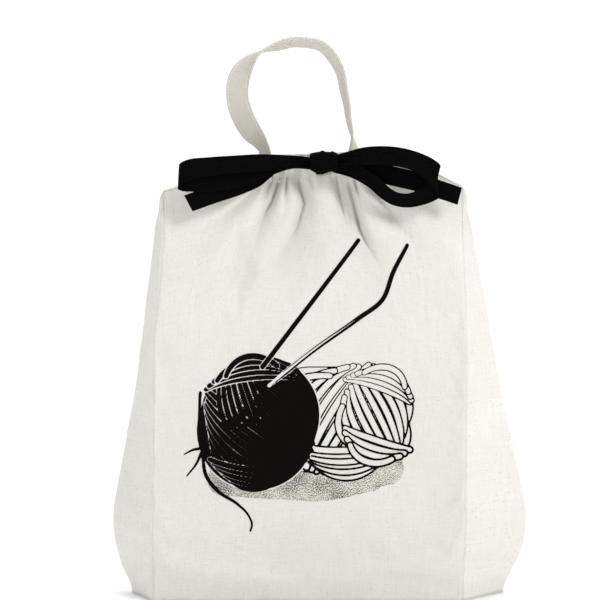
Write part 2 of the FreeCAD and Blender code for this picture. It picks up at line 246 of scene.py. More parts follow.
def hem_height(x):
    """How high the hem is at a place across the bag."""
    steps = np.linspace(-0.008, 0.008, 5)
    return sum(np.interp(x + step, HEM_X, HEM_Z) for step in steps) / len(steps)


# %% [markdown]
# ## Folds
#
# Gathered cloth does not wave evenly. Each fold starts as a sharp valley under the ribbon, widens as it
# runs down and dies out, and its neighbours join it. A fold is therefore a short path down the front, with
# how deep it is, how wide it is at the top and at its end, and how much steeper its one side is. All the
# folds together say how far each point of the cloth lies behind the flat front.

# %% Folds of the front and the back
# Each fold: its path as places across and up, depth, width at the top, width at the end, skew.
FRONT_FOLDS = [
    ([(-0.0430, 0.404), (-0.0440, 0.386), (-0.0538, 0.3625), (-0.062, 0.345)], 0.008, 0.0022, 0.006, 0.3),
    ([(-0.0360, 0.405), (-0.0362, 0.386), (-0.0446, 0.3625), (-0.0565, 0.338), (-0.062, 0.312)],
     0.0165, 0.0024, 0.011, -0.35),
    ([(-0.0300, 0.405), (-0.0305, 0.386), (-0.033, 0.360), (-0.036, 0.345)], 0.008, 0.0020, 0.005, 0.2),
    ([(-0.0240, 0.405), (-0.0236, 0.388), (-0.0150, 0.361), (-0.0240, 0.334), (-0.044, 0.306),
      (-0.056, 0.285)], 0.0185, 0.0026, 0.016, 0.4),
    ([(-0.0120, 0.406), (-0.0110, 0.388), (-0.0060, 0.366)], 0.006, 0.0026, 0.007, 0.0),
    ([(0.0000, 0.407), (0.0010, 0.390), (0.0030, 0.372)], 0.005, 0.0028, 0.007, 0.0),
    ([(0.0110, 0.407), (0.0125, 0.386), (0.0180, 0.364), (0.0265, 0.330)], 0.010, 0.0026, 0.009, 0.3),
    ([(0.0205, 0.407), (0.0245, 0.383), (0.0300, 0.361), (0.0362, 0.337), (0.049, 0.312), (0.064, 0.288)],
     0.0175, 0.0022, 0.015, -0.45),
    ([(0.0270, 0.407), (0.0305, 0.383), (0.0362, 0.364), (0.042, 0.350)], 0.010, 0.0022, 0.006, 0.2),
    ([(0.0340, 0.406), (0.0420, 0.384), (0.0560, 0.362), (0.0720, 0.342), (0.0880, 0.318), (0.107, 0.300)],
     0.0120, 0.0040, 0.014, 0.45),
    ([(-0.0490, 0.400), (-0.0640, 0.368), (-0.0900, 0.348), (-0.1180, 0.334)], 0.0095, 0.0040, 0.006, 0.5),
]
BACK_FOLDS = [
    ([(-0.0440, 0.404), (-0.050, 0.372), (-0.066, 0.335), (-0.080, 0.300)], 0.010, 0.0026, 0.014, 0.3),
    ([(-0.0350, 0.405), (-0.038, 0.376), (-0.044, 0.350)], 0.009, 0.0024, 0.008, -0.2),
    ([(-0.0260, 0.405), (-0.026, 0.370), (-0.034, 0.330), (-0.040, 0.280)], 0.013, 0.0026, 0.016, 0.3),
    ([(-0.0160, 0.406), (-0.014, 0.378), (-0.010, 0.352)], 0.008, 0.0026, 0.008, 0.0),
    ([(-0.0060, 0.407), (-0.003, 0.372), (0.004, 0.326), (0.006, 0.276)], 0.012, 0.0028, 0.016, -0.3),
    ([(0.0050, 0.407), (0.009, 0.376), (0.015, 0.345)], 0.009, 0.0026, 0.009, 0.2),
    ([(0.0150, 0.407), (0.021, 0.372), (0.032, 0.330), (0.048, 0.290)], 0.013, 0.0026, 0.016, 0.35),
    ([(0.0240, 0.407), (0.031, 0.378), (0.042, 0.354)], 0.009, 0.0024, 0.008, -0.2),
    ([(0.0330, 0.406), (0.047, 0.372), (0.072, 0.338), (0.096, 0.304)], 0.010, 0.0034, 0.015, 0.4),
]
# A shallow dent in the front's cloth, left of the neck, where it hangs slack: middle, half sizes, depth.
SLACK_DENT = ((-0.076, 0.300), (0.022, 0.040), 0.0075)
# How sharp the bottom of a fold's valley is: 2 would be a round valley, 1 a sharp one.
FOLD_EDGE = 1.35
FOLD_STARTS_ABOVE = 0.03
FOLD_FADES_FROM = 0.25


def folds_depth(folds, x, z):
    """How far behind the flat cloth the folds put each point."""
    depth = np.zeros_like(x)
    for path, deep, top_wide, end_wide, skew in folds:
        path = np.array(path)
        nearest = np.full_like(x, 9.0)
        side = np.zeros_like(x)
        share = np.zeros_like(x)
        lengths = np.linalg.norm(np.diff(path, axis=0), axis=1)
        start = np.concatenate([[0.0], np.cumsum(lengths)])
        for i, length in enumerate(lengths):
            run = (path[i + 1] - path[i]) / length
            along = (x - path[i, 0]) * run[0] + (z - path[i, 1]) * run[1]
            low = -FOLD_STARTS_ABOVE if i == 0 else 0.0
            kept = np.clip(along, low, length)
            away_x = x - path[i, 0] - run[0] * kept
            away_z = z - path[i, 1] - run[1] * kept
            distance = np.hypot(away_x, away_z)
            closer = distance < nearest
            nearest = np.where(closer, distance, nearest)
            cross = run[0] * away_z - run[1] * away_x
            side = np.where(closer, np.sign(cross), side)
            share = np.where(closer, (start[i] + np.clip(along, 0.0, length)) / start[-1], share)
        wide = top_wide + (end_wide - top_wide) * share ** 1.2
        wide = wide * (1.0 + skew * side)
        strength = deep * (1.0 - ease((share - FOLD_FADES_FROM) / (1.0 - FOLD_FADES_FROM))) ** 0.8
        depth = depth + strength * np.exp(-((nearest / wide) ** FOLD_EDGE))
    return depth


# %% [markdown]
# ## Creases
#
# Right under the ribbon the cloth is folded so tightly that its valleys close to thin dark lines. They are
# narrower than the cells of the cloth's grid, so they are pressed in later, after the cloth has settled and
# has been subdivided. Each is a short path again, with a depth and a width.

# %% Creases of the front
# Each crease: its path, how deep it is pressed, and how wide it is.
FRONT_CREASES = [
    ([(-0.0440, 0.388), (-0.0480, 0.374), (-0.0538, 0.3625)], 0.0039, 0.0011),
    ([(-0.0362, 0.388), (-0.0446, 0.3625), (-0.0565, 0.342), (-0.0610, 0.326)], 0.0054, 0.0012),
    ([(-0.0305, 0.388), (-0.0330, 0.360)], 0.0039, 0.0010),
    ([(-0.0236, 0.388), (-0.0150, 0.361), (-0.0220, 0.338), (-0.0400, 0.312)], 0.0063, 0.0013),
    ([(-0.0110, 0.388), (-0.0060, 0.370)], 0.0027, 0.0010),
    ([(0.0125, 0.386), (0.0180, 0.364), (0.0265, 0.330)], 0.0042, 0.0011),
    ([(0.0245, 0.384), (0.0300, 0.361), (0.0362, 0.337), (0.0440, 0.320), (0.0560, 0.300)], 0.0066, 0.0012),
    ([(0.0305, 0.384), (0.0362, 0.364)], 0.0045, 0.0010),
    ([(0.0420, 0.384), (0.0560, 0.362), (0.0720, 0.344)], 0.0030, 0.0014),
    ([(-0.0560, 0.384), (-0.0700, 0.364), (-0.0900, 0.350), (-0.1140, 0.338)], 0.0039, 0.0014),
]
CREASE_WHOLE_FROM = 0.12
CREASE_FADES_FROM = 0.30


def creases_depth(creases, x, z):
    """How far the creases press each point of the cloth in."""
    depth = np.zeros_like(x)
    for path, deep, wide in creases:
        path = np.array(path)
        lengths = np.linalg.norm(np.diff(path, axis=0), axis=1)
        start = np.concatenate([[0.0], np.cumsum(lengths)])
        for i, length in enumerate(lengths):
            run = (path[i + 1] - path[i]) / length
            along = (x - path[i, 0]) * run[0] + (z - path[i, 1]) * run[1]
            kept = np.clip(along, 0.0, length)
            apart = np.hypot(x - path[i, 0] - run[0] * kept, z - path[i, 1] - run[1] * kept)
            share = (start[i] + kept) / start[-1]
            fading = ease((share - CREASE_FADES_FROM) / (1.0 - CREASE_FADES_FROM))
            strength = ease(share / CREASE_WHOLE_FROM) * (1.0 - fading)
            depth = np.maximum(depth, deep * strength * np.exp(-((apart / wide) ** 1.5)))
    return depth


# %% [markdown]
# ## One tube of cloth
#
# Front, gussets and back are seamed into one tube, so the tube is made first, as two grids joined along the
# gussets' folds. Cut apart afterwards, the panels meet exactly, as seamed cloth does. Each half runs from
# the left fold across the front (or back) to the right fold, and from the hem down to the base.

# %% The tube
GUSSET_COLUMNS = 10
FACE_COLUMNS = 116
COLUMNS = FACE_COLUMNS + 2 * GUSSET_COLUMNS
ROWS = 74
SEAM_LEFT = GUSSET_COLUMNS / COLUMNS
SEAM_RIGHT = 1.0 - SEAM_LEFT
BASE_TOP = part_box("base_panel")[1].z
GATHER_STARTS = 0.235
GATHER_ENDS = 0.398
SEAM_DRAWN_IN = 0.0011
BELLY_CROWN = 0.005
BELLY_TALL = 0.34
CLOSING_FROM, CLOSING_TALL = 0.31, 0.06
CLOSED_SHARE = 0.75
RUFFLE_FROM, RUFFLE_TALL = 0.396, 0.010
RUFFLE_OUT = 0.003
LEAST_DEEP = 0.0012
# The gussets' folds swell a little outwards near the base.
FOLD_SWELL = 0.0042
SWELL_WHOLE_FROM = 0.03
SWELL_FADES_FROM, SWELL_FADES_OVER = 0.09, 0.12
CORNER_FROM, CORNER_TALL = 0.335, 0.036
CORNER_DROP = 0.009
CORNER_LEAN = 0.0035
UV_WIDE, UV_TALL = 0.43, 0.41


def row_share(share):
    """Rows lie closer together near the hem, where the folds are small."""
    return 0.45 * share + 0.55 * share ** 1.7


def half_tube(across, down, side):
    """Where each point of the front half (side -1) or the back half (side 1) of the tube goes."""
    face = np.clip((across - SEAM_LEFT) / (SEAM_RIGHT - SEAM_LEFT), 0.0, 1.0)
    hem_x = np.interp(face, CLOTH_SHARE, CLOTH_REACH)
    z = hem_height(hem_x) + (BASE_TOP - hem_height(hem_x)) * row_share(down)
    deep = outline("deep", z)
    face_left, face_right = outline("face_left", z), outline("face_right", z)
    swell = FOLD_SWELL * ease(z / SWELL_WHOLE_FROM) * (1.0 - ease((z - SWELL_FADES_FROM) / SWELL_FADES_OVER))
    fold_left, fold_right = outline("fold_left", z) - swell, outline("fold_right", z) + swell
    gathered = ease((z - GATHER_STARTS) / (GATHER_ENDS - GATHER_STARTS))
    plain_x = face_left + (face_right - face_left) * face
    x = plain_x + (hem_x - plain_x) * gathered
    left_share = np.clip(across / SEAM_LEFT, 0.0, 1.0)
    right_share = np.clip((1.0 - across) / (1.0 - SEAM_RIGHT), 0.0, 1.0)
    out = np.minimum(left_share, right_share)
    x = np.where(across < SEAM_LEFT, fold_left + (face_left - fold_left) * left_share, x)
    x = np.where(across > SEAM_RIGHT, fold_right + (face_right - fold_right) * right_share, x)
    y = deep * out
    # The cloth between two seams bows out a little, and each seam draws its edges in.
    middle = np.sin(np.pi * face) ** 0.7 * (across >= SEAM_LEFT) * (across <= SEAM_RIGHT)
    y = y + BELLY_CROWN * middle * np.sin(np.pi * np.clip(z / BELLY_TALL, 0.0, 1.0)) ** 0.8
    # Towards the top corners the two faces come together.
    shoulder = np.minimum(face, 1.0 - face) / CLOTH_SHARE[1]
    closing = 1.0 - CLOSED_SHARE * (1.0 - ease(shoulder)) * ease((z - CLOSING_FROM) / CLOSING_TALL)
    y = y * closing
    if side < 0:
        folds = folds_depth(FRONT_FOLDS, x, z)
        (dent_x, dent_z), (dent_wide, dent_tall), dent_deep = SLACK_DENT
        dent = np.abs(x - dent_x) / dent_wide + np.abs(z - dent_z) / dent_tall
        folds = folds + dent_deep * ease(1.25 - dent)
    else:
        folds = folds_depth(BACK_FOLDS, x, z)
    y = y - folds * np.clip(out, 0.0, 1.0)
    ruffle = ease((z - RUFFLE_FROM) / RUFFLE_TALL) * RUFFLE_OUT
    y = np.maximum(y + ruffle, LEAST_DEEP * out)
    # The two top corners are soft: the gussets' folds sink a little there and lean inwards.
    corner = (1.0 - out) ** 1.5 * ease((z - CORNER_FROM) / CORNER_TALL)
    z = z - CORNER_DROP * corner
    x = x + np.where(across < 0.5, 1.0, -1.0) * CORNER_LEAN * corner
    on_seam = np.minimum(np.abs(across - SEAM_LEFT), np.abs(across - SEAM_RIGHT)) * COLUMNS
    y = y - SEAM_DRAWN_IN * np.clip(1.0 - on_seam, 0.0, 1.0)
    return np.stack([x, y * side, z], axis=1)


halves = []
for half_name, side in (("front_half", -1), ("back_half", 1)):
    half, across, down = cloth_grid(half_name, COLUMNS, ROWS)
    places = half_tube(across, down, side)
    place_points(half, places)
    cloth_uv(half, (across - 0.5) * UV_WIDE * -side, (1.0 - row_share(down)) * UV_TALL)
    columns = half.data.attributes.new("column", "FLOAT", "POINT")
    columns.data.foreach_set("value", across)
    rows = half.data.attributes.new("row", "FLOAT", "POINT")
    rows.data.foreach_set("value", down)
    halves.append(half)
    print(half_name, len(half.data.vertices), "points")


# %% [markdown]
# ## Sewing the halves into one tube
#
# The two halves are joined, and the points they share along the folds are merged, which is what M > By
# Distance does. The back's faces are turned to point outwards first. A short gap is opened in the front's
# hem, where the ribbon comes out of its casing: on the bag it is a small slot that the bow's knot hides.

# %% Join the halves
EXIT_LOW = Vector((-0.005, 0.0, 0.388))
EXIT_HIGH = Vector((0.010, 0.0, 0.4035))
SAME_PLACE = 0.00002


def choose_faces(piece, chosen):
    """Selects the chosen faces, a yes or no for each, and opens the piece for editing."""
    pick(piece)
    for part in (piece.data.vertices, piece.data.edges, piece.data.polygons):
        part.foreach_set("select", [False] * len(part))
    piece.data.polygons.foreach_set("select", np.asarray(chosen, dtype=bool))
    bpy.ops.object.mode_set(mode="EDIT")
    bpy.ops.mesh.select_mode(type="FACE")


def face_middles(piece):
    """The middle of every face of the piece."""
    flat = np.empty(len(piece.data.polygons) * 3)
    piece.data.polygons.foreach_get("center", flat)
    return flat.reshape(-1, 3)


def close_editing():
    """Back to object mode."""
    bpy.ops.object.mode_set(mode="OBJECT")


front_half, back_half = halves
choose_faces(back_half, np.ones(len(back_half.data.polygons)))
bpy.ops.mesh.flip_normals()
close_editing()
middles = face_middles(front_half)
choose_faces(front_half, (middles[:, 0] > EXIT_LOW.x) & (middles[:, 0] < EXIT_HIGH.x)
             & (middles[:, 2] > EXIT_LOW.z) & (middles[:, 2] < EXIT_HIGH.z))
bpy.ops.mesh.delete(type="FACE")
close_editing()
for number, half in enumerate(halves):
    panels = half.data.attributes.new("side", "FLOAT", "FACE")
    panels.data.foreach_set("value", [float(number)] * len(half.data.polygons))
pick(front_half)
back_half.select_set(True)
bpy.ops.object.join()
tube = bpy.context.object
tube.name = tube.data.name = "tube"
bpy.ops.object.mode_set(mode="EDIT")
bpy.ops.mesh.select_all(action="SELECT")
bpy.ops.mesh.remove_doubles(threshold=SAME_PLACE)
close_editing()
print("tube", len(tube.data.vertices), "points", len(tube.data.polygons), "faces")


# %% [markdown]
# ## Letting the cloth settle
#
# A drawn-up bag is never as even as a rule makes it: between the gathers and the base the cloth hangs slack
# and finds its own small dents. A short cloth simulation does that. The hem, held by the ribbon, and the
# base are pinned; the seams are held firmly, because several layers are stiff; the rest is held so lightly
# that it only remembers its shape. The cloth is asked to be about one percent larger than it is drawn,
# which gives it the slack. How far any point may move is capped, so that the bag keeps its outline.

# %% Cloth simulation
SETTLE_FRAMES = 24
SETTLE_CAP = 0.006
SLACK = -0.012
HELD = {"hem": 1.0, "base": 1.0, "seam": 0.55, "fold": 0.6, "free": 0.012}
HELD_COLUMNS = 1.5
HEM_HELD_TO, HEM_EASES_OVER = 0.20, 0.34
BASE_HELD_FROM, BASE_EASES_OVER = 0.975, 0.02


def read_attribute(piece, name):
    """A named value of every point of the piece."""
    values = np.empty(len(piece.data.vertices))
    piece.data.attributes[name].data.foreach_get("value", values)
    return values


columns, rows = read_attribute(tube, "column"), read_attribute(tube, "row")
held = np.full(len(columns), HELD["free"])
to_seam = np.minimum(np.abs(columns - SEAM_LEFT), np.abs(columns - SEAM_RIGHT))
to_fold = np.minimum(columns, 1.0 - columns)
held = np.maximum(held, HELD["seam"] * (1.0 - ease(to_seam * COLUMNS / HELD_COLUMNS)))
held = np.maximum(held, HELD["fold"] * (1.0 - ease(to_fold * COLUMNS / HELD_COLUMNS)))
held = np.maximum(held, HELD["hem"] * (1.0 - ease((rows - HEM_HELD_TO) / HEM_EASES_OVER)))
held = np.maximum(held, HELD["base"] * ease((rows - BASE_HELD_FROM) / BASE_EASES_OVER))

pinned = tube.vertex_groups.new(name="held")
for index, weight in enumerate(held):
    pinned.add([index], float(weight), "REPLACE")
before = points_of(tube)
pick(tube)
settle = tube.modifiers.new("settle", "CLOTH")
settle.settings.quality = 6
settle.settings.mass = 0.12
settle.settings.tension_stiffness = 30.0
settle.settings.compression_stiffness = 30.0
settle.settings.shear_stiffness = 8.0
settle.settings.bending_stiffness = 0.35
settle.settings.air_damping = 2.0
settle.settings.vertex_group_mass = "held"
settle.settings.pin_stiffness = 1.0
settle.settings.shrink_min = SLACK
settle.collision_settings.use_collision = False
settle.collision_settings.use_self_collision = False
settle.point_cache.frame_end = SETTLE_FRAMES
for step in range(1, SETTLE_FRAMES + 1):
    bpy.context.scene.frame_set(step)
bpy.ops.object.modifier_apply(modifier="settle")
bpy.context.scene.frame_set(1)
moved = points_of(tube) - before
far = np.linalg.norm(moved, axis=1)
print("cloth moved up to", round(far.max() * 1000, 1), "mm")
capped = SETTLE_CAP * np.tanh(far / SETTLE_CAP)
place_points(tube, before + moved * (capped / np.maximum(far, 1e-9))[:, None])


# %% [markdown]
# ## Reading the settled cloth
#
# Everything that is sewn to the bag has to follow its cloth: the casing behind the hem, the ribbon in the
# casing, the stitches and the seam allowances. So the settled points are kept as two tables, one for the
# front and one for the back, and a helper finds any place on them from its share across the cloth and its
# distance below the hem. A search tree of the finished skin then puts small things exactly on its surface.

# %% Tables of the settled cloth
def cloth_table(piece):
    """The tube's points as two tables of rows and columns, the front's and the back's."""
    places = points_of(piece)
    column = np.rint(read_attribute(piece, "column") * COLUMNS).astype(int)
    row = np.rint(read_attribute(piece, "row") * ROWS).astype(int)
    on_fold = (column == 0) | (column == COLUMNS)
    tables = []
    for in_half in (places[:, 1] < 0.0, places[:, 1] >= 0.0):
        kept = in_half | on_fold
        table = np.full((ROWS + 1, COLUMNS + 1, 3), np.nan)
        table[row[kept], column[kept]] = places[kept]
        for line in table.reshape(ROWS + 1, -1, 3):
            for axis in range(3):
                known = ~np.isnan(line[:, axis])
                line[:, axis] = np.interp(np.arange(COLUMNS + 1), np.flatnonzero(known), line[known, axis])
        tables.append(table)
    return tables


CLOTH = cloth_table(tube)
BELOW = [np.concatenate([np.zeros((1, COLUMNS + 1)),
                         np.cumsum(np.linalg.norm(np.diff(table, axis=0), axis=2), axis=0)])
         for table in CLOTH]
FRONT, BACK = 0, 1
print("cloth from hem to base", round(float(BELOW[FRONT][-1].mean()), 3), "m")


def cloth_at(side, shares, below):
    """Places at one distance below the hem of the front or the back, at those shares across it."""
    line = np.array([[np.interp(below, BELOW[side][:, c], CLOTH[side][:, c, axis]) for axis in range(3)]
                     for c in range(COLUMNS + 1)])
    at = np.asarray(shares) * COLUMNS
    return np.stack([np.interp(at, np.arange(COLUMNS + 1), line[:, axis]) for axis in range(3)], axis=1)


def behind_cloth(side, shares, profile):
    """Rows of places for an inner layer: profile holds distance below the hem, distance inwards and lift."""
    layer = [cloth_at(side, shares, below) + np.array([0.0, inwards * (1.0 if side == FRONT else -1.0), lift])
             for below, inwards, lift in profile]
    return np.array(layer)


# %% [markdown]
# ## Cutting the tube into its panels
#
# One level of subdivision rounds the cloth, and the creases are pressed in. Then each panel is cut out of a
# copy of the tube: the faces of the other panels are selected and deleted. Solidify gives each panel the
# thickness of strong cotton, inwards, so that the outside stays where it is. Because all panels come from
# one tube, their edges meet in tight seams.

# %% Panels
CLOTH_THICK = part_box("base_panel")[1].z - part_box("base_panel")[0].z
# The flat cut of the front and the back: a face's width at the hem and at the base.
FRONT_CUT = (0.405, 0.283)
LEAST_FRONT = 0.001

add_modifier(tube, "round", "SUBSURF", levels=1, render_levels=1)
SKIN_POINTS = points_of(tube)
on_front = SKIN_POINTS[:, 1] < -LEAST_FRONT
pressed = creases_depth(FRONT_CREASES, SKIN_POINTS[:, 0], SKIN_POINTS[:, 2])
SKIN_POINTS[:, 1] = SKIN_POINTS[:, 1] + np.where(on_front, pressed, 0.0)
place_points(tube, SKIN_POINTS)
SKIN = BVHTree.FromPolygons([tuple(p) for p in SKIN_POINTS], [tuple(f.vertices) for f in tube.data.polygons])


def face_values(piece, name):
    """A named value of every face, or the mean of its corners' values."""
    attribute = piece.data.attributes[name]
    values = np.empty(len(attribute.data))
    attribute.data.foreach_get("value", values)
    if attribute.domain == "FACE":
        return values
    return np.array([values[list(face.vertices)].mean() for face in piece.data.polygons])


TUBE_COLUMN, TUBE_SIDE = face_values(tube, "column"), face_values(tube, "side")
ON_FACE = (TUBE_COLUMN > SEAM_LEFT) & (TUBE_COLUMN < SEAM_RIGHT)


def cut_panel(name, chosen):
    """A panel of cloth: a copy of the tube without all other faces, with the cloth's thickness."""
    pick(tube)
    bpy.ops.object.duplicate()
    panel = bpy.context.object
    panel.name = panel.data.name = name
    choose_faces(panel, ~chosen)
    bpy.ops.mesh.delete(type="FACE")
    close_editing()
    add_modifier(panel, "cloth", "SOLIDIFY", thickness=CLOTH_THICK, offset=-1.0)
    smooth(panel)
    return panel


front_cloth = cut_panel("front_cloth", ON_FACE & (TUBE_SIDE < 0.5))
back_cloth = cut_panel("back_cloth", ON_FACE & (TUBE_SIDE > 0.5))
left_gusset_cloth = cut_panel("left_gusset_cloth", TUBE_COLUMN < SEAM_LEFT)
right_gusset_cloth = cut_panel("right_gusset_cloth", TUBE_COLUMN > SEAM_RIGHT)
bpy.data.objects.remove(tube)
for panel in (front_cloth, back_cloth, left_gusset_cloth, right_gusset_cloth):
    print(panel.name, 2 * len(panel.data.polygons), "triangles")


# %% [markdown]
# ## The base
#
# The base is a flat panel between the bottom edges of the tube. Its edge points are the tube's own bottom
# row, so it closes the bag exactly. It lies flat on the table.

# %% Base cloth
BASE_CELLS = 12


def base_places(across, down):
    """The base's points, straight across from the front's bottom edge to the back's."""
    front_line = np.stack([np.interp(across * COLUMNS, np.arange(COLUMNS + 1), CLOTH[FRONT][-1][:, axis])
                           for axis in range(3)], axis=1)
    back_line = np.stack([np.interp(across * COLUMNS, np.arange(COLUMNS + 1), CLOTH[BACK][-1][:, axis])
                          for axis in range(3)], axis=1)
    places = back_line + (front_line - back_line) * down[:, None]
    places[:, 2] = CLOTH_THICK
    return places


base_cloth, across, down = cloth_grid("base_cloth", COLUMNS, BASE_CELLS)
place_points(base_cloth, base_places(across, down))
cloth_uv(base_cloth, points_of(base_cloth)[:, 0], points_of(base_cloth)[:, 1])
add_modifier(base_cloth, "cloth", "SOLIDIFY", thickness=CLOTH_THICK, offset=-1.0)
smooth(base_cloth)
print("base", [round(v, 3) for v in base_cloth.dimensions])


# %% [markdown]
# ## Casings and the ribbon inside them
#
# The hem is turned over to the inside and stitched down, which makes a flat tunnel for the ribbon. From
# outside only its rounded top edge and its line of stitches show. The inner layer is a strip that follows
# the settled cloth, a few millimetres behind it; its top rolls over the cut edge. The ribbon lies between
# the two layers and runs once round the bag, and its ends come out at the front slot into the knot.

# %% Casings
CASING_TALL = 0.0245
# Each row of the casing: how far below the hem, how far inwards, how much higher.
CASING_PROFILE = [(0.0000, -0.0003, 0.0000), (0.0000, 0.0001, 0.0010), (0.0000, 0.0012, 0.0015),
                  (0.0000, 0.0024, 0.0010), (0.0020, 0.0032, 0.0), (0.0080, 0.0040, 0.0),
                  (0.0160, 0.0038, 0.0), (0.0215, 0.0018, 0.0), (CASING_TALL, 0.0022, 0.0)]
RIBBON_TOP = 0.004
RIBBON_WIDE = 0.0155
RIBBON_BEHIND = 0.0023
INNER_THICK = 0.0007


def sewn_layer(name, places):
    """A thin inner layer through rows of places."""
    piece, across, down = cloth_grid(name, places.shape[1] - 1, places.shape[0] - 1)
    column = np.rint(across * (places.shape[1] - 1)).astype(int)
    row = np.rint(down * (places.shape[0] - 1)).astype(int)
    place_points(piece, places[row, column])
    lengths = np.linalg.norm(np.diff(places, axis=0), axis=2).mean(axis=1)
    cloth_uv(piece, across * FRONT_CUT[0], np.concatenate([[0.0], np.cumsum(lengths)])[row])
    return piece


face_shares = np.linspace(SEAM_LEFT, SEAM_RIGHT, 2 * FACE_COLUMNS + 1)
casings = {}
for name, side in (("front_casing_cloth", FRONT), ("back_casing_cloth", BACK)):
    casing = sewn_layer(name, behind_cloth(side, face_shares, CASING_PROFILE))
    if side == BACK:
        choose_faces(casing, np.ones(len(casing.data.polygons)))
        bpy.ops.mesh.flip_normals()
        close_editing()
    add_modifier(casing, "layer", "SOLIDIFY", thickness=INNER_THICK, offset=0.0)
    smooth(casing)
    casings[side] = casing
    print(name, len(casing.data.polygons), "faces")

# %% Ribbon inside the casings
SAME_RIBBON = 0.00005
ribbon_profile = [(RIBBON_TOP + RIBBON_WIDE * share, RIBBON_BEHIND, 0.0)
                  for share in np.linspace(0.0, 1.0, 7)]
front_run = behind_cloth(FRONT, face_shares, ribbon_profile)
back_run = behind_cloth(BACK, face_shares[::-1], ribbon_profile)
ribbon_run = sewn_layer("ribbon_in_casings", np.concatenate([front_run, back_run, front_run[:, :1]], axis=1))
pick(ribbon_run)
bpy.ops.object.mode_set(mode="EDIT")
bpy.ops.mesh.select_all(action="SELECT")
bpy.ops.mesh.remove_doubles(threshold=SAME_RIBBON)
close_editing()
print("ribbon in the casings", [round(v, 3) for v in ribbon_run.dimensions])


# %% [markdown]
# ## Seam allowances
#
# Where two panels are sewn together, their cut edges stand inside the bag as a narrow double strip. It is
# hidden, but it is what makes each seam stand straight, and it is seen when one looks into the mouth. Each
# strip starts at its seam, runs a few millimetres into the bag, and waves a little, because cut edges never
# lie straight.

# %% Seam strips
ALLOWANCE = 0.009
ALLOWANCE_THICK = 0.0016
ALLOWANCE_WAVE = 0.0006
ALLOWANCE_SLANT = 0.45
SEAM_CLEAR = 0.0022
SEAM_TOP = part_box("front_left_seam")[1].z
BASE_SEAM_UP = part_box("base_seam")[1].z


def allowance_places(side, column):
    """Rows of places for one seam's strip: along the seam, and inwards from it."""
    line = CLOTH[side][:, column]
    line = line[(line[:, 2] < SEAM_TOP) & (line[:, 2] > BASE_SEAM_UP)]
    middle_x = (cad_low.x + cad_high.x) / 2
    inwards = np.stack([np.sign(middle_x - line[:, 0]) * ALLOWANCE_SLANT, -np.sign(line[:, 1]),
                        np.zeros(len(line))], axis=1)
    inwards = inwards / np.linalg.norm(inwards, axis=1)[:, None]
    wave = np.sin(np.arange(len(line)) * 0.9) * ALLOWANCE_WAVE
    steps = np.linspace(0.0, 1.0, 4)
    return np.array([line + inwards * (SEAM_CLEAR + ALLOWANCE * step) + np.array([1.0, 0.0, 0.0])
                     * (wave * step)[:, None] for step in steps])


seams = {}
for name, side, column in (("front_left_seam", FRONT, GUSSET_COLUMNS),
                           ("back_left_seam", BACK, GUSSET_COLUMNS),
                           ("front_right_seam", FRONT, COLUMNS - GUSSET_COLUMNS),
                           ("back_right_seam", BACK, COLUMNS - GUSSET_COLUMNS)):
    seam = sewn_layer(name.replace("seam", "allowance"), allowance_places(side, column))
    add_modifier(seam, "double", "SOLIDIFY", thickness=ALLOWANCE_THICK, offset=0.0)
    smooth(seam)
    seams[name] = seam
    print(seam.name, [round(v, 3) for v in seam.dimensions])

# %% Base seam
BASE_SEAM_INSIDE = (0.985, 0.945, 1.0)
BASE_SEAM_LOW = 0.0005
BASE_SEAM_WAVES = 24
ring = np.concatenate([CLOTH[FRONT][-1], CLOTH[BACK][-1][-2::-1]])
middle = ring.mean(axis=0)
ring = middle + (ring - middle) * np.array(BASE_SEAM_INSIDE)
base_lifts = np.linspace(BASE_SEAM_LOW, BASE_SEAM_UP - CLOTH_THICK, 4)
base_wave = np.sin(np.arange(len(ring)) * 2 * np.pi * BASE_SEAM_WAVES / (len(ring) - 1)) * ALLOWANCE_WAVE
base_rows = np.array([ring + np.stack([np.zeros(len(ring)), base_wave, np.full(len(ring), lift)], axis=1)
                      for lift in base_lifts])
base_allowance = sewn_layer("base_allowance", base_rows)
add_modifier(base_allowance, "double", "SOLIDIFY", thickness=ALLOWANCE_THICK, offset=0.0)
smooth(base_allowance)
seams["base_seam"] = base_allowance
print("base allowance", [round(v, 3) for v in base_allowance.dimensions])


# %% [markdown]
# ## Stitches
#
# A line of machine stitches is hundreds of short threads that dip into the cloth at both ends. One stitch
# is a thin cylinder with its two ends drawn together, made once. Its copies are laid end to end along the
# hem, each turned to the line's direction and pressed half into the skin. They are joined, so that a line
# is one piece.

# %% One stitch and a line of them
STITCH_LONG = 0.0021
STITCH_STEP = 0.0028
THREAD = 0.00028

deselect()
bpy.ops.mesh.primitive_cylinder_add(vertices=6, radius=THREAD, depth=STITCH_LONG,
                                    rotation=(0.0, math.pi / 2, 0.0))
bpy.ops.object.transform_apply(location=True, rotation=True, scale=True)
one_stitch = bpy.context.object
one_stitch.name = one_stitch.data.name = "one_stitch"
bpy.ops.object.mode_set(mode="EDIT")
bpy.ops.mesh.select_mode(type="FACE")
bpy.ops.mesh.select_all(action="DESELECT")
bpy.ops.object.mode_set(mode="OBJECT")
for face in one_stitch.data.polygons:
    face.select = abs(face.normal.x) > 0.9
bpy.ops.object.mode_set(mode="EDIT")
bpy.ops.mesh.inset(thickness=THREAD * 0.35)
bpy.ops.transform.translate(value=(0.0, 0.0, -THREAD * 0.9))
bpy.ops.object.mode_set(mode="OBJECT")
STITCH_POINTS = points_of(one_stitch)
STITCH_FACES = [tuple(face.vertices) for face in one_stitch.data.polygons]
bpy.data.objects.remove(one_stitch)
print("one stitch", len(STITCH_FACES), "faces")


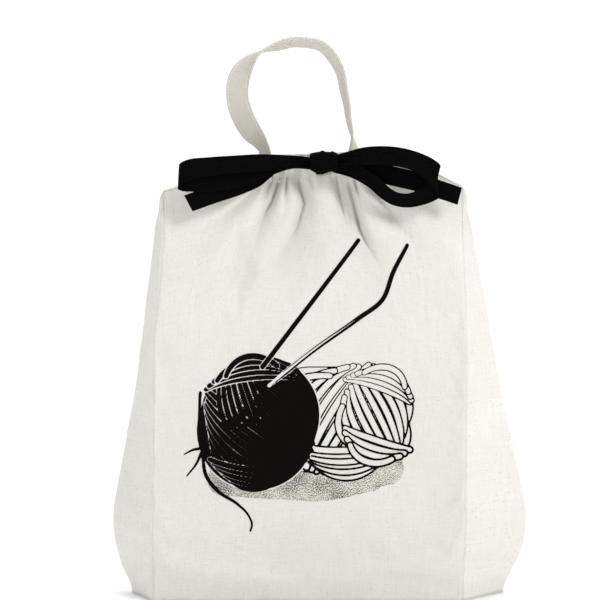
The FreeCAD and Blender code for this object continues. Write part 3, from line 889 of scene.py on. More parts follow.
def stitch_line(name, lines):
    """Stitches along lines of places, each line with the outward direction of every place."""
    points, faces = [], []
    for line, outward in lines:
        steps = np.concatenate([[0.0], np.cumsum(np.linalg.norm(np.diff(line, axis=0), axis=1))])
        starts = np.arange(STITCH_STEP / 2, steps[-1] - STITCH_STEP / 2, STITCH_STEP)
        for at in starts:
            low, mid, high = (np.array([np.interp(at + s, steps, line[:, axis]) for axis in range(3)])
                              for s in (-STITCH_LONG / 2, 0.0, STITCH_LONG / 2))
            out = np.array([np.interp(at, steps, outward[:, axis]) for axis in range(3)])
            along = (high - low) / max(np.linalg.norm(high - low), 1e-9)
            out = out - along * out.dot(along)
            out = out / max(np.linalg.norm(out), 1e-9)
            turn = np.array([along, np.cross(out, along), out])
            first = len(points) * len(STITCH_POINTS)
            points.append(STITCH_POINTS @ turn + mid + out * THREAD * 0.55)
            faces += [tuple(first + index for index in face) for face in STITCH_FACES]
    mesh = bpy.data.meshes.new(name)
    mesh.from_pydata(np.concatenate(points).tolist(), [], faces)
    piece = bpy.data.objects.new(name, mesh)
    bpy.context.scene.collection.objects.link(piece)
    smooth(piece)
    print(name, len(points), "stitches")
    return piece


def on_skin(line):
    """The nearest places on the cloth's skin, and its outward directions there."""
    found = [SKIN.find_nearest(Vector(place)) for place in line]
    return np.array([hit[0] for hit in found]), np.array([hit[1] for hit in found])


# %% Hem stitches
HEM_STITCH_BELOW = 0.022
stitch_shares = np.linspace(SEAM_LEFT + 0.002, SEAM_RIGHT - 0.002, 400)
hem_stitches = {side: stitch_line(name, [on_skin(cloth_at(side, stitch_shares, HEM_STITCH_BELOW))])
                for name, side in (("front_hem_stitches", FRONT), ("back_hem_stitches", BACK))}


# %% [markdown]
# ## Flat bands that bend and twist
#
# The handle and the ribbon are flat bands. A band is known from a few stations along its middle: the place,
# the width and how far it leans. A smooth line runs through the stations, so a few of them describe a whole
# loop. Straps and ribbons are shaped directly, because a cloth simulation would crumple such narrow strips
# at random.

# %% Bands
def flowing(stations, count):
    """Values between the stations on smooth lines through them, one row for each of count places."""
    stations = np.array(stations, dtype=float)
    at = np.concatenate([[0.0], np.cumsum(np.linalg.norm(np.diff(stations[:, :3], axis=0), axis=1))])
    slopes = np.gradient(stations, at, axis=0)
    where = np.linspace(0.0, at[-1], count)
    first = np.clip(np.searchsorted(at, where, side="right") - 1, 0, len(at) - 2)
    span = (at[first + 1] - at[first])[:, None]
    t = (where - at[first])[:, None] / span
    return (stations[first] * (2 * t ** 3 - 3 * t ** 2 + 1) + stations[first + 1] * (3 * t ** 2 - 2 * t ** 3)
            + slopes[first] * span * (t ** 3 - 2 * t ** 2 + t) + slopes[first + 1] * span * (t ** 3 - t ** 2))


def unit(rows):
    """Each row as a direction of length one."""
    return rows / np.maximum(np.linalg.norm(rows, axis=1), 1e-12)[:, None]


def band(name, middle, across, wide, cells, shape):
    """A band along its middle line: shape(side, along) says how far its surface stands out, in metres."""
    count = len(middle)
    piece, share, down = cloth_grid(name, cells, count - 1)
    row = np.rint(down * (count - 1)).astype(int)
    along = unit(np.gradient(middle, axis=0))
    out = unit(np.cross(along, across))
    side = share * 2.0 - 1.0
    lengths = np.concatenate([[0.0], np.cumsum(np.linalg.norm(np.diff(middle, axis=0), axis=1))])
    places = (middle[row] + across[row] * (side * wide[row] / 2)[:, None]
              + out[row] * shape(side, lengths[row])[:, None])
    place_points(piece, places)
    cloth_uv(piece, side * wide.max() / 2, lengths[row])
    print(name, round(float(lengths[-1]), 3), "m long")
    return piece, out


# %% [markdown]
# ## The handle
#
# The handle is a strap of the same cotton, folded into four layers and sewn along both edges. It leaves the
# back of the hem at two places and makes one turn on the way, as a flat strap does when its ends are sewn
# down facing the same way. The stations follow the CAD strap. Both ends go on below the hem, where they are
# sewn to the back.

# %% Handle
STRAP_THICK = 0.0020
STRAP_Y = 0.0138
strap_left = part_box("left_strap_end")
strap_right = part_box("right_strap_end")
LEFT_ROOT = (strap_left[0].x + strap_left[1].x) / 2
RIGHT_ROOT = (strap_right[0].x + strap_right[1].x) / 2
STRAP_LOW = strap_left[0].z
# Each station: place across, place up, twist out of the bag's plane in degrees, width.
HANDLE = [(LEFT_ROOT, STRAP_LOW, 0, 0.0135), (LEFT_ROOT, 0.3985, 2, 0.0135),
          (LEFT_ROOT - 0.0003, 0.4090, 42, 0.0140),
          (-0.0565, 0.4180, 34, 0.0168), (-0.0635, 0.4265, 14, 0.0195), (-0.0715, 0.4400, 5, 0.0205),
          (-0.0768, 0.4590, 0, 0.0205), (-0.0750, 0.4765, 14, 0.0205), (-0.0685, 0.4885, 46, 0.0205),
          (-0.0575, 0.4985, 80, 0.0205), (-0.0420, 0.5050, 106, 0.0205), (-0.0189, 0.5092, 112, 0.0205),
          (-0.0023, 0.5065, 114, 0.0205), (0.0110, 0.4955, 114, 0.0205), (0.0180, 0.4810, 110, 0.0205),
          (0.0225, 0.4610, 106, 0.0205), (0.0258, 0.4400, 100, 0.0200), (0.0288, 0.4240, 92, 0.0170),
          (RIGHT_ROOT - 0.0003, 0.4110, 56, 0.0142), (RIGHT_ROOT, 0.3985, 2, 0.0135),
          (RIGHT_ROOT, STRAP_LOW, 0, 0.0135)]
HANDLE_ROWS = 220
EDGE_STITCH_IN = 0.0022
STITCH_SUNK = 0.00025

flow = flowing([(x, STRAP_Y, z, twist, wide) for x, z, twist, wide in HANDLE], HANDLE_ROWS)
strap_middle, strap_wide = flow[:, :3], flow[:, 4]
along = unit(np.gradient(strap_middle, axis=0))
turn = np.radians(flow[:, 3])[:, None]
depth_way = np.array([0.0, 1.0, 0.0])
strap_across = np.cross(along, depth_way) * np.cos(turn) + depth_way * np.sin(turn)


def strap_shape(side, along):
    """The strap is pressed thin along its two stitch lines and a little fuller between and outside them."""
    line = np.exp(-(((np.abs(side) - 0.78) / 0.07) ** 2))
    return 0.0003 * np.sin(along * 210.0) * side ** 2 - 0.00025 * line


handle_strap, out = band("cotton_handle", strap_middle, strap_across, strap_wide, 20, strap_shape)
add_modifier(handle_strap, "layers", "SOLIDIFY", thickness=STRAP_THICK, offset=0.0)
add_modifier(handle_strap, "edges", "BEVEL", width=0.0006, segments=2, limit_method="ANGLE")
add_modifier(handle_strap, "round", "SUBSURF", levels=1, render_levels=1)
smooth(handle_strap)

strap_lines = []
for side in (-1.0, 1.0):
    for face in (-1.0, 1.0):
        line = strap_middle + strap_across * (side * (strap_wide / 2 - EDGE_STITCH_IN))[:, None]
        strap_lines.append((line + out * face * (STRAP_THICK / 2 - STITCH_SUNK), out * face))
handle_stitches = stitch_line("handle_stitches", strap_lines)

# %% Sewn ends of the handle
BOX_HALF_WIDE = 0.0045
BOX_LOW, BOX_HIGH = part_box("left_strap_stitching")[0].z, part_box("left_strap_stitching")[1].z


def box_stitches(name, middle_x):
    """A square of stitches with a cross in it, on the strap's outer face."""
    corners = {"a": (-1, BOX_LOW), "b": (1, BOX_LOW), "c": (1, BOX_HIGH), "d": (-1, BOX_HIGH)}
    lines = []
    for start, end in ("ab", "bc", "cd", "da", "ac", "bd"):
        line = np.array([[middle_x + BOX_HALF_WIDE * side, STRAP_Y + STRAP_THICK / 2, z]
                         for side, z in (corners[start], corners[end])])
        line = line[0] + (line[1] - line[0]) * np.linspace(0.0, 1.0, 12)[:, None]
        lines.append((line, np.tile([0.0, 1.0, 0.0], (12, 1))))
    return stitch_line(name, lines)


left_box = box_stitches("left_box_stitches", LEFT_ROOT)
right_box = box_stitches("right_box_stitches", RIGHT_ROOT)


# %% [markdown]
# ## The bow
#
# The ribbon's two ends are tied in a bow in front of the slot. Each loop leaves the knot, runs out along
# the front, folds over at its end and comes back behind and below. The tails come out of the knot under the
# loops. At the knot the ribbon is squeezed to less than half its width and creases along its length; the
# creases fade out within three centimetres. A station of the ribbon is a place, a width, and how far the
# width leans from upright, in degrees.

# %% Ribbon loops and tails
RIBBON_THICK = 0.0006
CREASE_DEEP = 0.0011
CREASE_FADES = 0.026
LEFT_LOOP = [(-0.0080, -0.0300, 0.3985, 0.0090, 0), (-0.0200, -0.0315, 0.3995, 0.0102, 0),
             (-0.0340, -0.0350, 0.3995, 0.0122, -1), (-0.0520, -0.0380, 0.3988, 0.0150, -3),
             (-0.0780, -0.0400, 0.3970, 0.0162, -4), (-0.1030, -0.0395, 0.3948, 0.0172, -7),
             (-0.1180, -0.0385, 0.3925, 0.0186, -8), (-0.1262, -0.0366, 0.3885, 0.0200, -4),
             (-0.1288, -0.0336, 0.3855, 0.0210, 0), (-0.1264, -0.0310, 0.3832, 0.0200, 2),
             (-0.1160, -0.0301, 0.3808, 0.0172, 1), (-0.0960, -0.0298, 0.3800, 0.0155, -1),
             (-0.0700, -0.0298, 0.3838, 0.0125, -12), (-0.0480, -0.0300, 0.3908, 0.0095, -18),
             (-0.0300, -0.0300, 0.3965, 0.0080, -10), (-0.0080, -0.0295, 0.3985, 0.0080, 0)]
RIGHT_LOOP = [(0.0110, -0.0300, 0.4000, 0.0095, 0), (0.0230, -0.0320, 0.4020, 0.0122, -6),
              (0.0380, -0.0360, 0.4045, 0.0155, -5), (0.0550, -0.0390, 0.4050, 0.0172, 0),
              (0.0720, -0.0400, 0.4033, 0.0174, 9), (0.0860, -0.0397, 0.3993, 0.0176, 22),
              (0.0960, -0.0387, 0.3943, 0.0184, 30), (0.1032, -0.0366, 0.3880, 0.0198, 26),
              (0.1062, -0.0338, 0.3828, 0.0212, 6), (0.1048, -0.0314, 0.3776, 0.0200, -16),
              (0.0995, -0.0303, 0.3720, 0.0172, -28), (0.0905, -0.0299, 0.3672, 0.0146, -20),
              (0.0785, -0.0298, 0.3643, 0.0128, 0), (0.0665, -0.0299, 0.3662, 0.0124, 24),
              (0.0575, -0.0300, 0.3718, 0.0124, 38), (0.0490, -0.0300, 0.3795, 0.0124, 40),
              (0.0370, -0.0300, 0.3872, 0.0124, 28), (0.0250, -0.0296, 0.3918, 0.0112, 14),
              (0.0110, -0.0290, 0.3945, 0.0090, 4)]
# A tail's station: place across, place up, width, lean; its depth follows the leaning plane of its joint.
LEFT_TAIL = [(-0.0080, 0.3965, 0.0080, 0), (-0.0250, 0.3976, 0.0085, -2), (-0.0395, 0.3958, 0.0096, -14),
             (-0.0485, 0.3905, 0.0120, -36), (-0.0575, 0.3842, 0.0140, -34), (-0.0720, 0.3780, 0.0155, -18),
             (-0.0950, 0.3706, 0.0162, -18), (-0.1205, 0.3616, 0.0164, -28)]
RIGHT_TAIL = [(0.0110, 0.3950, 0.0085, 0), (0.0280, 0.3932, 0.0115, 2), (0.0440, 0.3905, 0.0150, 6),
              (0.0640, 0.3867, 0.0176, 9), (0.0840, 0.3820, 0.0172, 13), (0.1020, 0.3762, 0.0164, 16),
              (0.1262, 0.3680, 0.0160, 14)]
TAIL_NEAR = -0.0218
TAIL_LEAN = math.tan(math.radians(10.0))
TAIL_TOP = 0.393


def ribbon_band(name, stations, rows, both_ends):
    """A piece of ribbon with creases where it is squeezed: at its start, and at its end if both are."""
    flow = flowing([(*place, wide, lean) for *place, wide, lean in stations], rows)
    lean = np.radians(flow[:, 4])
    across = np.stack([np.sin(lean), np.zeros(rows), np.cos(lean)], axis=1)
    whole = np.linalg.norm(np.diff(flow[:, :3], axis=0), axis=1).sum()

    def creased(side, along):
        """Lengthwise creases near the knot, and a faint roll across the ribbon."""
        near = np.minimum(along, whole - along) if both_ends else along
        fade = np.exp(-((near / CREASE_FADES) ** 2))
        return CREASE_DEEP * fade * np.cos(side * 9.5 + along * 30.0) + 0.0008 * np.sin(along * 48.0 + side)

    piece, _ = band(name, flow[:, :3], across, flow[:, 3], 16, creased)
    add_modifier(piece, "woven", "SOLIDIFY", thickness=RIBBON_THICK, offset=0.0)
    smooth(piece)
    return piece


def tail_stations(points):
    """A tail's stations on the plane that leans forward with the cloth behind it."""
    return [(x, TAIL_NEAR - TAIL_LEAN * max(TAIL_TOP - z, 0.0), z, wide, lean) for x, z, wide, lean in points]


left_loop = ribbon_band("left_loop_ribbon", LEFT_LOOP, 170, True)
right_loop = ribbon_band("right_loop_ribbon", RIGHT_LOOP, 170, True)
left_end = ribbon_band("left_tail_ribbon", tail_stations(LEFT_TAIL), 80, False)
right_end = ribbon_band("right_tail_ribbon", tail_stations(RIGHT_TAIL), 80, False)


# %% [markdown]
# ## The knot
#
# The knot is the ribbon itself, wrapped once round the loops and drawn tight. It starts as a cylinder that
# lies across the bag. Loops of edges are added along it by subdividing, and a rule then makes it into a
# wrap: barrel shaped, flatter from front to back, with two folds that run round it and a slanting edge.

# %% Knot
knot_low, knot_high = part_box("bow_knot")
KNOT_MIDDLE = (knot_low + knot_high) / 2
KNOT_HALF = (knot_high - knot_low) / 2
KNOT_SIDES = 56
KNOT_RINGS = 36

deselect()
bpy.ops.mesh.primitive_cylinder_add(vertices=KNOT_SIDES, radius=1.0, depth=2.0, end_fill_type="NOTHING",
                                    rotation=(0.0, math.pi / 2, 0.0))
bpy.ops.object.transform_apply(location=True, rotation=True, scale=True)
knot = bpy.context.object
knot.name = knot.data.name = "ribbon_knot"
bpy.ops.object.mode_set(mode="EDIT")
bpy.ops.mesh.select_all(action="DESELECT")
bpy.ops.mesh.select_mode(type="EDGE")
bpy.ops.object.mode_set(mode="OBJECT")
for edge in knot.data.edges:
    ends = [knot.data.vertices[index].co for index in edge.vertices]
    edge.select = abs(ends[0].x - ends[1].x) > 1.0
bpy.ops.object.mode_set(mode="EDIT")
bpy.ops.mesh.subdivide(number_cuts=KNOT_RINGS - 1)
bpy.ops.object.mode_set(mode="OBJECT")

places = points_of(knot)
share, turned = places[:, 0], np.arctan2(places[:, 2], -places[:, 1])
barrel = 0.62 + 0.38 * np.sqrt(np.clip(1.0 - np.abs(share) ** 2.6, 0.0, 1.0))
folds = 0.055 * np.cos(share * 8.0 + turned * 1.0) + 0.03 * np.cos(share * 17.0 - 2.0 * turned)
wrap = barrel * (0.94 + folds * np.clip(1.3 - np.abs(share), 0.0, 1.0))
# The wrap's front is flatter than a circle, as ribbon pulled over the loops is.
flat_front = np.sign(np.cos(turned)) * np.abs(np.cos(turned)) ** 0.8
high = np.sign(np.sin(turned)) * np.abs(np.sin(turned)) ** 0.8
lean_over = 0.10 * np.sin(turned) * (1.0 - np.abs(share))
place_points(knot, np.stack([KNOT_MIDDLE.x + KNOT_HALF.x * np.clip(share + lean_over, -1.0, 1.0),
                             KNOT_MIDDLE.y - KNOT_HALF.y * wrap * flat_front,
                             KNOT_MIDDLE.z + KNOT_HALF.z * wrap * high], axis=1))
cloth_uv(knot, turned * 0.010, share * KNOT_HALF.x)
add_modifier(knot, "woven", "SOLIDIFY", thickness=RIBBON_THICK * 2, offset=-1.0)
add_modifier(knot, "round", "SUBSURF", levels=1, render_levels=1)
smooth(knot)
print("knot", [round(v, 3) for v in knot.dimensions])


# %% [markdown]
# ## The printed picture
#
# The front carries a screen print of two wound balls of yarn, one dark and one pale, with a pair of
# needles. The drawing here is a plain one made for this bag. A screen print starts as a stencil, and so
# does this one: strokes are laid on a fine sheet of numbers in order, each covering what is under it, as in
# painting. A dark strand has a thin bare line around it, a pale strand has a thin inked line. Where the
# sheet is more than half covered, ink is pressed on the cloth: its outline is cut cell by cell, and every
# point is dropped onto the skin.

# %% The stencil
PRINT_LOW = np.array([-0.130, 0.060])
PRINT_HIGH = np.array([0.092, 0.334])
CELL = 0.00068
INK, BARE = 1.0, 0.0
stencil_x = np.arange(PRINT_LOW[0], PRINT_HIGH[0], CELL)
stencil_z = np.arange(PRINT_LOW[1], PRINT_HIGH[1], CELL)
ink_sheet = np.zeros((len(stencil_z), len(stencil_x)))
tint_sheet = np.zeros_like(ink_sheet)


def curve(points, count=26):
    """A smooth line through a few places in the picture."""
    stations = np.array([(x, z, 0.0) for x, z in points])
    return flowing(stations, count)[:, :2]


def cover(sheet, x, z, amount, value):
    """Lays a value on part of a sheet, as thickly as amount says."""
    part = sheet[z, x]
    sheet[z, x] = part * (1.0 - amount) + value * amount


def stroke(line, half, edge, body, rim):
    """A stroke along a line: half its width and its rim's width at each place, and what each of them is."""
    half, edge = np.broadcast_to(half, len(line)), np.broadcast_to(edge, len(line))
    reach = float((half + edge).max()) + 2 * CELL
    low, high = line.min(axis=0) - reach, line.max(axis=0) + reach
    x = slice(*np.clip(np.searchsorted(stencil_x, (low[0], high[0])), 0, len(stencil_x)))
    z = slice(*np.clip(np.searchsorted(stencil_z, (low[1], high[1])), 0, len(stencil_z)))
    at_x, at_z = np.meshgrid(stencil_x[x], stencil_z[z])
    nearest = np.full(at_x.shape, 9.0)
    wide, rimmed = np.zeros(at_x.shape), np.zeros(at_x.shape)
    for i in range(len(line) - 1):
        run = line[i + 1] - line[i]
        t = ((at_x - line[i, 0]) * run[0] + (at_z - line[i, 1]) * run[1]) / max(run.dot(run), 1e-12)
        t = np.clip(t, 0.0, 1.0)
        away = np.hypot(at_x - line[i, 0] - t * run[0], at_z - line[i, 1] - t * run[1])
        closer = away < nearest
        nearest = np.where(closer, away, nearest)
        wide = np.where(closer, half[i] + (half[i + 1] - half[i]) * t, wide)
        rimmed = np.where(closer, edge[i] + (edge[i + 1] - edge[i]) * t, rimmed)
    outer = np.clip(0.5 + (wide + rimmed - nearest) / CELL, 0.0, 1.0)
    inner = np.clip(0.5 + (wide - nearest) / CELL, 0.0, 1.0)
    cover(ink_sheet, x, z, outer, rim)
    cover(ink_sheet, x, z, inner, body)
    cover(tint_sheet, x, z, outer, 0.0)


print("stencil", ink_sheet.shape)


# %% [markdown]
# ### Wound balls
#
# Yarn is wound on a ball in families: many turns side by side in one direction, then the ball is turned and
# the next family crosses them. Seen from the side the turns of a family spread in the middle and meet at
# two poles, like the lines on a globe. So a family is a loop over a few turns, with an angle, and the range
# that it covers.

# %% Balls of yarn
random.seed(11)
UNEVEN_SPACING = 0.012
UNEVEN_ENDS = (-0.03, 0.05)


def turns(middle, radii, angle, across, along, count, half, edge, body, rim, light):
    """One family of turns: light says how wide the line between two turns is at each place."""
    way = np.array([math.cos(math.radians(angle)), math.sin(math.radians(angle))])
    side = np.array([-way[1], way[0]])
    for place in np.linspace(across[0], across[1], count):
        place = place + random.uniform(-UNEVEN_SPACING, UNEVEN_SPACING)
        start = along[0] + random.uniform(*UNEVEN_ENDS)
        u = np.linspace(start, along[1] - random.uniform(*UNEVEN_ENDS), 22)
        spread = place * np.sqrt(np.clip(1.0 - (0.90 * u) ** 2, 0.0, 1.0))
        run = u * math.sqrt(max(1.0 - 0.75 * place ** 2, 0.0))
        line = np.array(middle) + np.outer(run, way) * radii + np.outer(spread, side) * radii
        narrow = 0.55 + 0.45 * np.sqrt(np.clip(1.0 - (0.95 * u) ** 2, 0.0, 1.0))
        stroke(line, half * narrow, edge * light(line), body, rim)


def lit_from(spot, reach, least=0.0):
    """Wide lines near a lit spot, none far from it."""
    return lambda line: least + (1.0 - least) * np.clip(
        1.25 - np.linalg.norm(line - np.array(spot), axis=1) / reach, 0.0, 1.0)


def shaded_from(spot, reach):
    """Thin lines near a lit spot, thick ones far from it."""
    return lambda line: 0.55 + np.clip(np.linalg.norm(line - np.array(spot), axis=1) / reach, 0.0, 1.1)


DARK_MIDDLE, DARK_RADII = (-0.0560, 0.1640), (0.0565, 0.0600)
PALE_MIDDLE, PALE_RADII = (0.0210, 0.1660), (0.0640, 0.0560)

# The shadow under both balls, as a tint.
distance_x, distance_z = np.meshgrid(stencil_x, stencil_z)
for low_point, high_point, thick in (((-0.088, 0.112), (0.060, 0.122), 0.0150),
                                     ((-0.045, 0.108), (0.045, 0.114), 0.0125)):
    line = curve([low_point, ((low_point[0] + high_point[0]) / 2, low_point[1] - 0.003), high_point])
    for place in line:
        away = np.hypot(distance_x - place[0], distance_z - place[1])
        tint_sheet[:] = np.maximum(tint_sheet, np.clip(0.5 + (thick - away) / CELL, 0.0, 1.0))

# The pale ball: its body first, then its turns.
pale_light = shaded_from((0.030, 0.205), 0.085)
stroke(curve([(-0.010, 0.166), (0.033, 0.166)]), 0.0470, 0.0009, BARE, INK)
turns(PALE_MIDDLE, PALE_RADII, 62, (-0.95, 0.95), (-0.93, 0.93), 14, 0.0028, 0.00125, BARE, INK, pale_light)
turns(PALE_MIDDLE, PALE_RADII, 4, (-0.92, -0.50), (-0.80, 0.86), 6, 0.0024, 0.00115, BARE, INK, pale_light)
turns((0.048, 0.170), (0.0375, 0.0400), 118, (-0.90, 0.90), (-0.90, 0.90), 10, 0.0025, 0.00120, BARE, INK,
      pale_light)
turns((0.050, 0.188), (0.0360, 0.0290), -24, (0.25, 0.90), (-0.92, 0.92), 5, 0.0024, 0.00105, BARE, INK,
      pale_light)
turns((0.052, 0.150), (0.0340, 0.0280), 158, (0.10, 0.85), (-0.92, 0.92), 4, 0.0024, 0.00125, BARE, INK,
      pale_light)

# The dark ball, in front of the pale one.
stroke(curve([(-0.0590, 0.1560), (-0.0550, 0.1700)]), 0.0535, 0.0012, INK, BARE)
dark_light = lit_from((-0.098, 0.178), 0.062)
turns(DARK_MIDDLE, DARK_RADII, -34, (-0.96, 0.96), (-0.94, 0.94), 19, 0.0029, 0.00062, INK, BARE, dark_light)
turns((-0.060, 0.176), (0.0500, 0.0450), -72, (-0.62, 0.10), (-0.86, 0.30), 7, 0.0024, 0.00055, INK, BARE,
      lit_from((-0.085, 0.196), 0.040))
turns((-0.057, 0.190), (0.0520, 0.0340), 8, (0.42, 0.98), (-0.93, 0.80), 5, 0.0027, 0.00090, INK, BARE,
      lit_from((-0.092, 0.214), 0.072, 0.12))
turns((-0.056, 0.132), (0.0500, 0.0300), -10, (-0.98, -0.40), (-0.92, 0.55), 5, 0.0026, 0.00055, INK, BARE,
      lit_from((-0.096, 0.120), 0.050))

# %% Needles and loose ends
needle_a = curve([(-0.0530, 0.2135), (-0.0180, 0.2591), (0.0140, 0.3008), (0.0344, 0.3273)])
stroke(needle_a, np.linspace(0.0022, 0.0019, len(needle_a)), 0.0007, INK, BARE)
needle_b = curve([(-0.0470, 0.1965), (-0.0060, 0.2290), (0.0340, 0.2570), (0.0560, 0.2740), (0.0660, 0.2990),
                  (0.0790, 0.3230)], 44)
point_share = np.linspace(0.0, 1.0, len(needle_b))
body_share = np.clip(point_share * 9.0, 0.0, 1.0) * (1.0 - 0.35 * point_share ** 12)
stroke(needle_b, 0.0009 + 0.0012 * body_share, 0.0006, INK, BARE)
bare_part = needle_b[:24] + np.array([-0.0003, 0.0004])
stroke(bare_part, np.linspace(0.0011, 0.0001, len(bare_part)), 0.0, BARE, BARE)
loose_end = curve([(-0.1075, 0.1350), (-0.1040, 0.1150), (-0.0930, 0.1010), (-0.0760, 0.0900),
                   (-0.0660, 0.0800), (-0.0625, 0.0705), (-0.0640, 0.0655)], 36)
stroke(loose_end, 0.0012 + 0.0004 * np.sin(np.linspace(0.0, 5.0, 36)), 0.0, INK, INK)
for short_end in ([(-0.1085, 0.1400), (-0.1160, 0.1385), (-0.1240, 0.1345)],
                  [(-0.1080, 0.1370), (-0.1130, 0.1260), (-0.1215, 0.1150)],
                  [(-0.1095, 0.1900), (-0.1105, 0.1640), (-0.1080, 0.1400)]):
    line = curve(short_end, 14)
    stroke(line, np.linspace(0.0013, 0.0005, 14), 0.0, INK, INK)
print("ink covers", round(float((ink_sheet > 0.5).mean()) * 100, 1), "% of the picture's rectangle")

# %% Press the ink on the cloth
INK_OFF = 0.00022
TINT_OFF = 0.00014
HALF_COVERED = 0.5


def cut_stencil(name, sheet, off):
    """The mesh of all that is more than half covered, each point dropped onto the skin."""
    index, places, faces = {}, [], []

    def point(key, x, z):
        if key not in index:
            index[key] = len(places)
            places.append((x, z))
        return index[key]

    inside = sheet > HALF_COVERED
    touched = inside[:-1, :-1] | inside[1:, :-1] | inside[:-1, 1:] | inside[1:, 1:]
    for row, column in zip(*np.nonzero(touched)):
        ring = [(row, column), (row, column + 1), (row + 1, column + 1), (row + 1, column)]
        face = []
        for here, following in zip(ring, ring[1:] + ring[:1]):
            level, other = sheet[here], sheet[following]
            if level > HALF_COVERED:
                face.append(point(here, stencil_x[here[1]], stencil_z[here[0]]))
            if (level > HALF_COVERED) != (other > HALF_COVERED):
                t = (HALF_COVERED - level) / (other - level)
                t = min(max(t, 0.02), 0.98)
                face.append(point((min(here, following), max(here, following)),
                                  stencil_x[here[1]] + t * (stencil_x[following[1]] - stencil_x[here[1]]),
                                  stencil_z[here[0]] + t * (stencil_z[following[0]] - stencil_z[here[0]])))
        if len(face) > 2:
            faces.append(face)
    on_cloth = []
    for x, z in places:
        hit, normal, _, _ = SKIN.ray_cast(Vector((x, -1.0, z)), Vector((0.0, 1.0, 0.0)))
        on_cloth.append(hit + normal * off)
    mesh = bpy.data.meshes.new(name)
    mesh.from_pydata(on_cloth, [], faces)
    piece = bpy.data.objects.new(name, mesh)
    bpy.context.scene.collection.objects.link(piece)
    cloth_uv(piece, np.array([p[0] for p in places]), np.array([p[1] for p in places]))
    smooth(piece)
    print(name, len(faces), "faces")
    return piece


printed_ink = cut_stencil("printed_ink", ink_sheet, INK_OFF)
printed_tint = cut_stencil("printed_tint", tint_sheet, TINT_OFF)


# %% [markdown]
# ## Cotton
#
# The bag is strong, plain-woven cotton: a cream yarn over and under another, with a thicker yarn here and
# there. The weave is made from two sets of waves that take turns, on the UV map that measures the cloth in
# metres, so that it keeps its size on every panel. Slubs are long stretched noise along each yarn
# direction. The colour barely varies: a little between yarns, a little in soft clouds, and a few darker
# flecks of seed husk.

# %% Material helpers
def material(name):
    """A new material with its shader."""
    made = bpy.data.materials.new(name)
    made.use_nodes = True
    return made, made.node_tree, made.node_tree.nodes["Principled BSDF"]


def link(tree, start, end):
    """Links one socket to another."""
    tree.links.new(start, end)


def math_node(tree, operation, label, first, second=None):
    """A Math node of two sockets or numbers."""
    node = tree.nodes.new("ShaderNodeMath")
    node.operation = operation
    node.label = label
    for socket, value in zip(node.inputs, (first, second)):
        if value is None:
            continue
        if isinstance(value, bpy.types.NodeSocket):
            link(tree, value, socket)
        else:
            socket.default_value = value
    return node.outputs[0]


def noise(tree, vector, label, scale, detail=2.0, roughness=0.5, stretch=(1.0, 1.0, 1.0)):
    """Noise of that many lumps per metre, stretched along an axis if asked."""
    mapping = tree.nodes.new("ShaderNodeMapping")
    mapping.inputs["Scale"].default_value = stretch
    link(tree, vector, mapping.inputs["Vector"])
    node = tree.nodes.new("ShaderNodeTexNoise")
    node.label = label
    node.inputs["Scale"].default_value = scale
    node.inputs["Detail"].default_value = detail
    node.inputs["Roughness"].default_value = roughness
    link(tree, mapping.outputs["Vector"], node.inputs["Vector"])
    return node.outputs["Fac"]


def ramp(tree, value, label, stops):
    """Colours between stops: each stop is a place from 0 to 1 and a colour."""
    node = tree.nodes.new("ShaderNodeValToRGB")
    node.label = label
    line = node.color_ramp
    while len(line.elements) < len(stops):
        line.elements.new(0.5)
    for element, (place, colour) in zip(line.elements, stops):
        element.position = place
        element.color = (*colour, 1.0)
    link(tree, value, node.inputs["Fac"])
    return node.outputs["Color"]


def multiply_colours(tree, label, share, first, second):
    """The first colour darkened by the second, as much as share says."""
    node = tree.nodes.new("ShaderNodeMix")
    node.data_type = "RGBA"
    node.blend_type = "MULTIPLY"
    node.label = label
    node.inputs[0].default_value = share
    link(tree, first, node.inputs[6])
    link(tree, second, node.inputs[7])
    return node.outputs[2]


def bump(tree, height, distance, shader, strength=1.0, before=None):
    """Bump of that height in metres on the shader."""
    node = tree.nodes.new("ShaderNodeBump")
    node.inputs["Strength"].default_value = strength
    node.inputs["Distance"].default_value = distance
    link(tree, height, node.inputs["Height"])
    if before:
        link(tree, before, node.inputs["Normal"])
    link(tree, node.outputs["Normal"], shader.inputs["Normal"])
    return node.outputs["Normal"]


def weave(tree, vector, yarns):
    """Plain weave: 1 on top of a yarn, 0 in the gap between yarns, for that many yarns per metre."""
    split = tree.nodes.new("ShaderNodeSeparateXYZ")
    link(tree, vector, split.inputs[0])
    turn = math.pi * yarns
    across = math_node(tree, "MULTIPLY", "yarns across", split.outputs["X"], turn)
    along = math_node(tree, "MULTIPLY", "yarns along", split.outputs["Y"], turn)
    warp = math_node(tree, "ABSOLUTE", "warp", math_node(tree, "SINE", "warp wave", across))
    weft = math_node(tree, "ABSOLUTE", "weft", math_node(tree, "SINE", "weft wave", along))
    sign = math_node(tree, "MULTIPLY", "over or under", math_node(tree, "SINE", "turn a", across),
                     math_node(tree, "SINE", "turn b", along))
    over = math_node(tree, "GREATER_THAN", "warp on top", sign, 0.0)
    under = math_node(tree, "SUBTRACT", "weft on top", 1.0, over)
    return math_node(tree, "ADD", "woven height", math_node(tree, "MULTIPLY", "warp part", warp, over),
                     math_node(tree, "MULTIPLY", "weft part", weft, under))


# %% Cotton materials
YARNS_PER_METRE = 1700.0
YARN_HIGH = 0.00016
CREAM = (0.838, 0.834, 0.800)
CREAM_DARK = (0.760, 0.748, 0.702)
HUSK = (0.560, 0.450, 0.300)


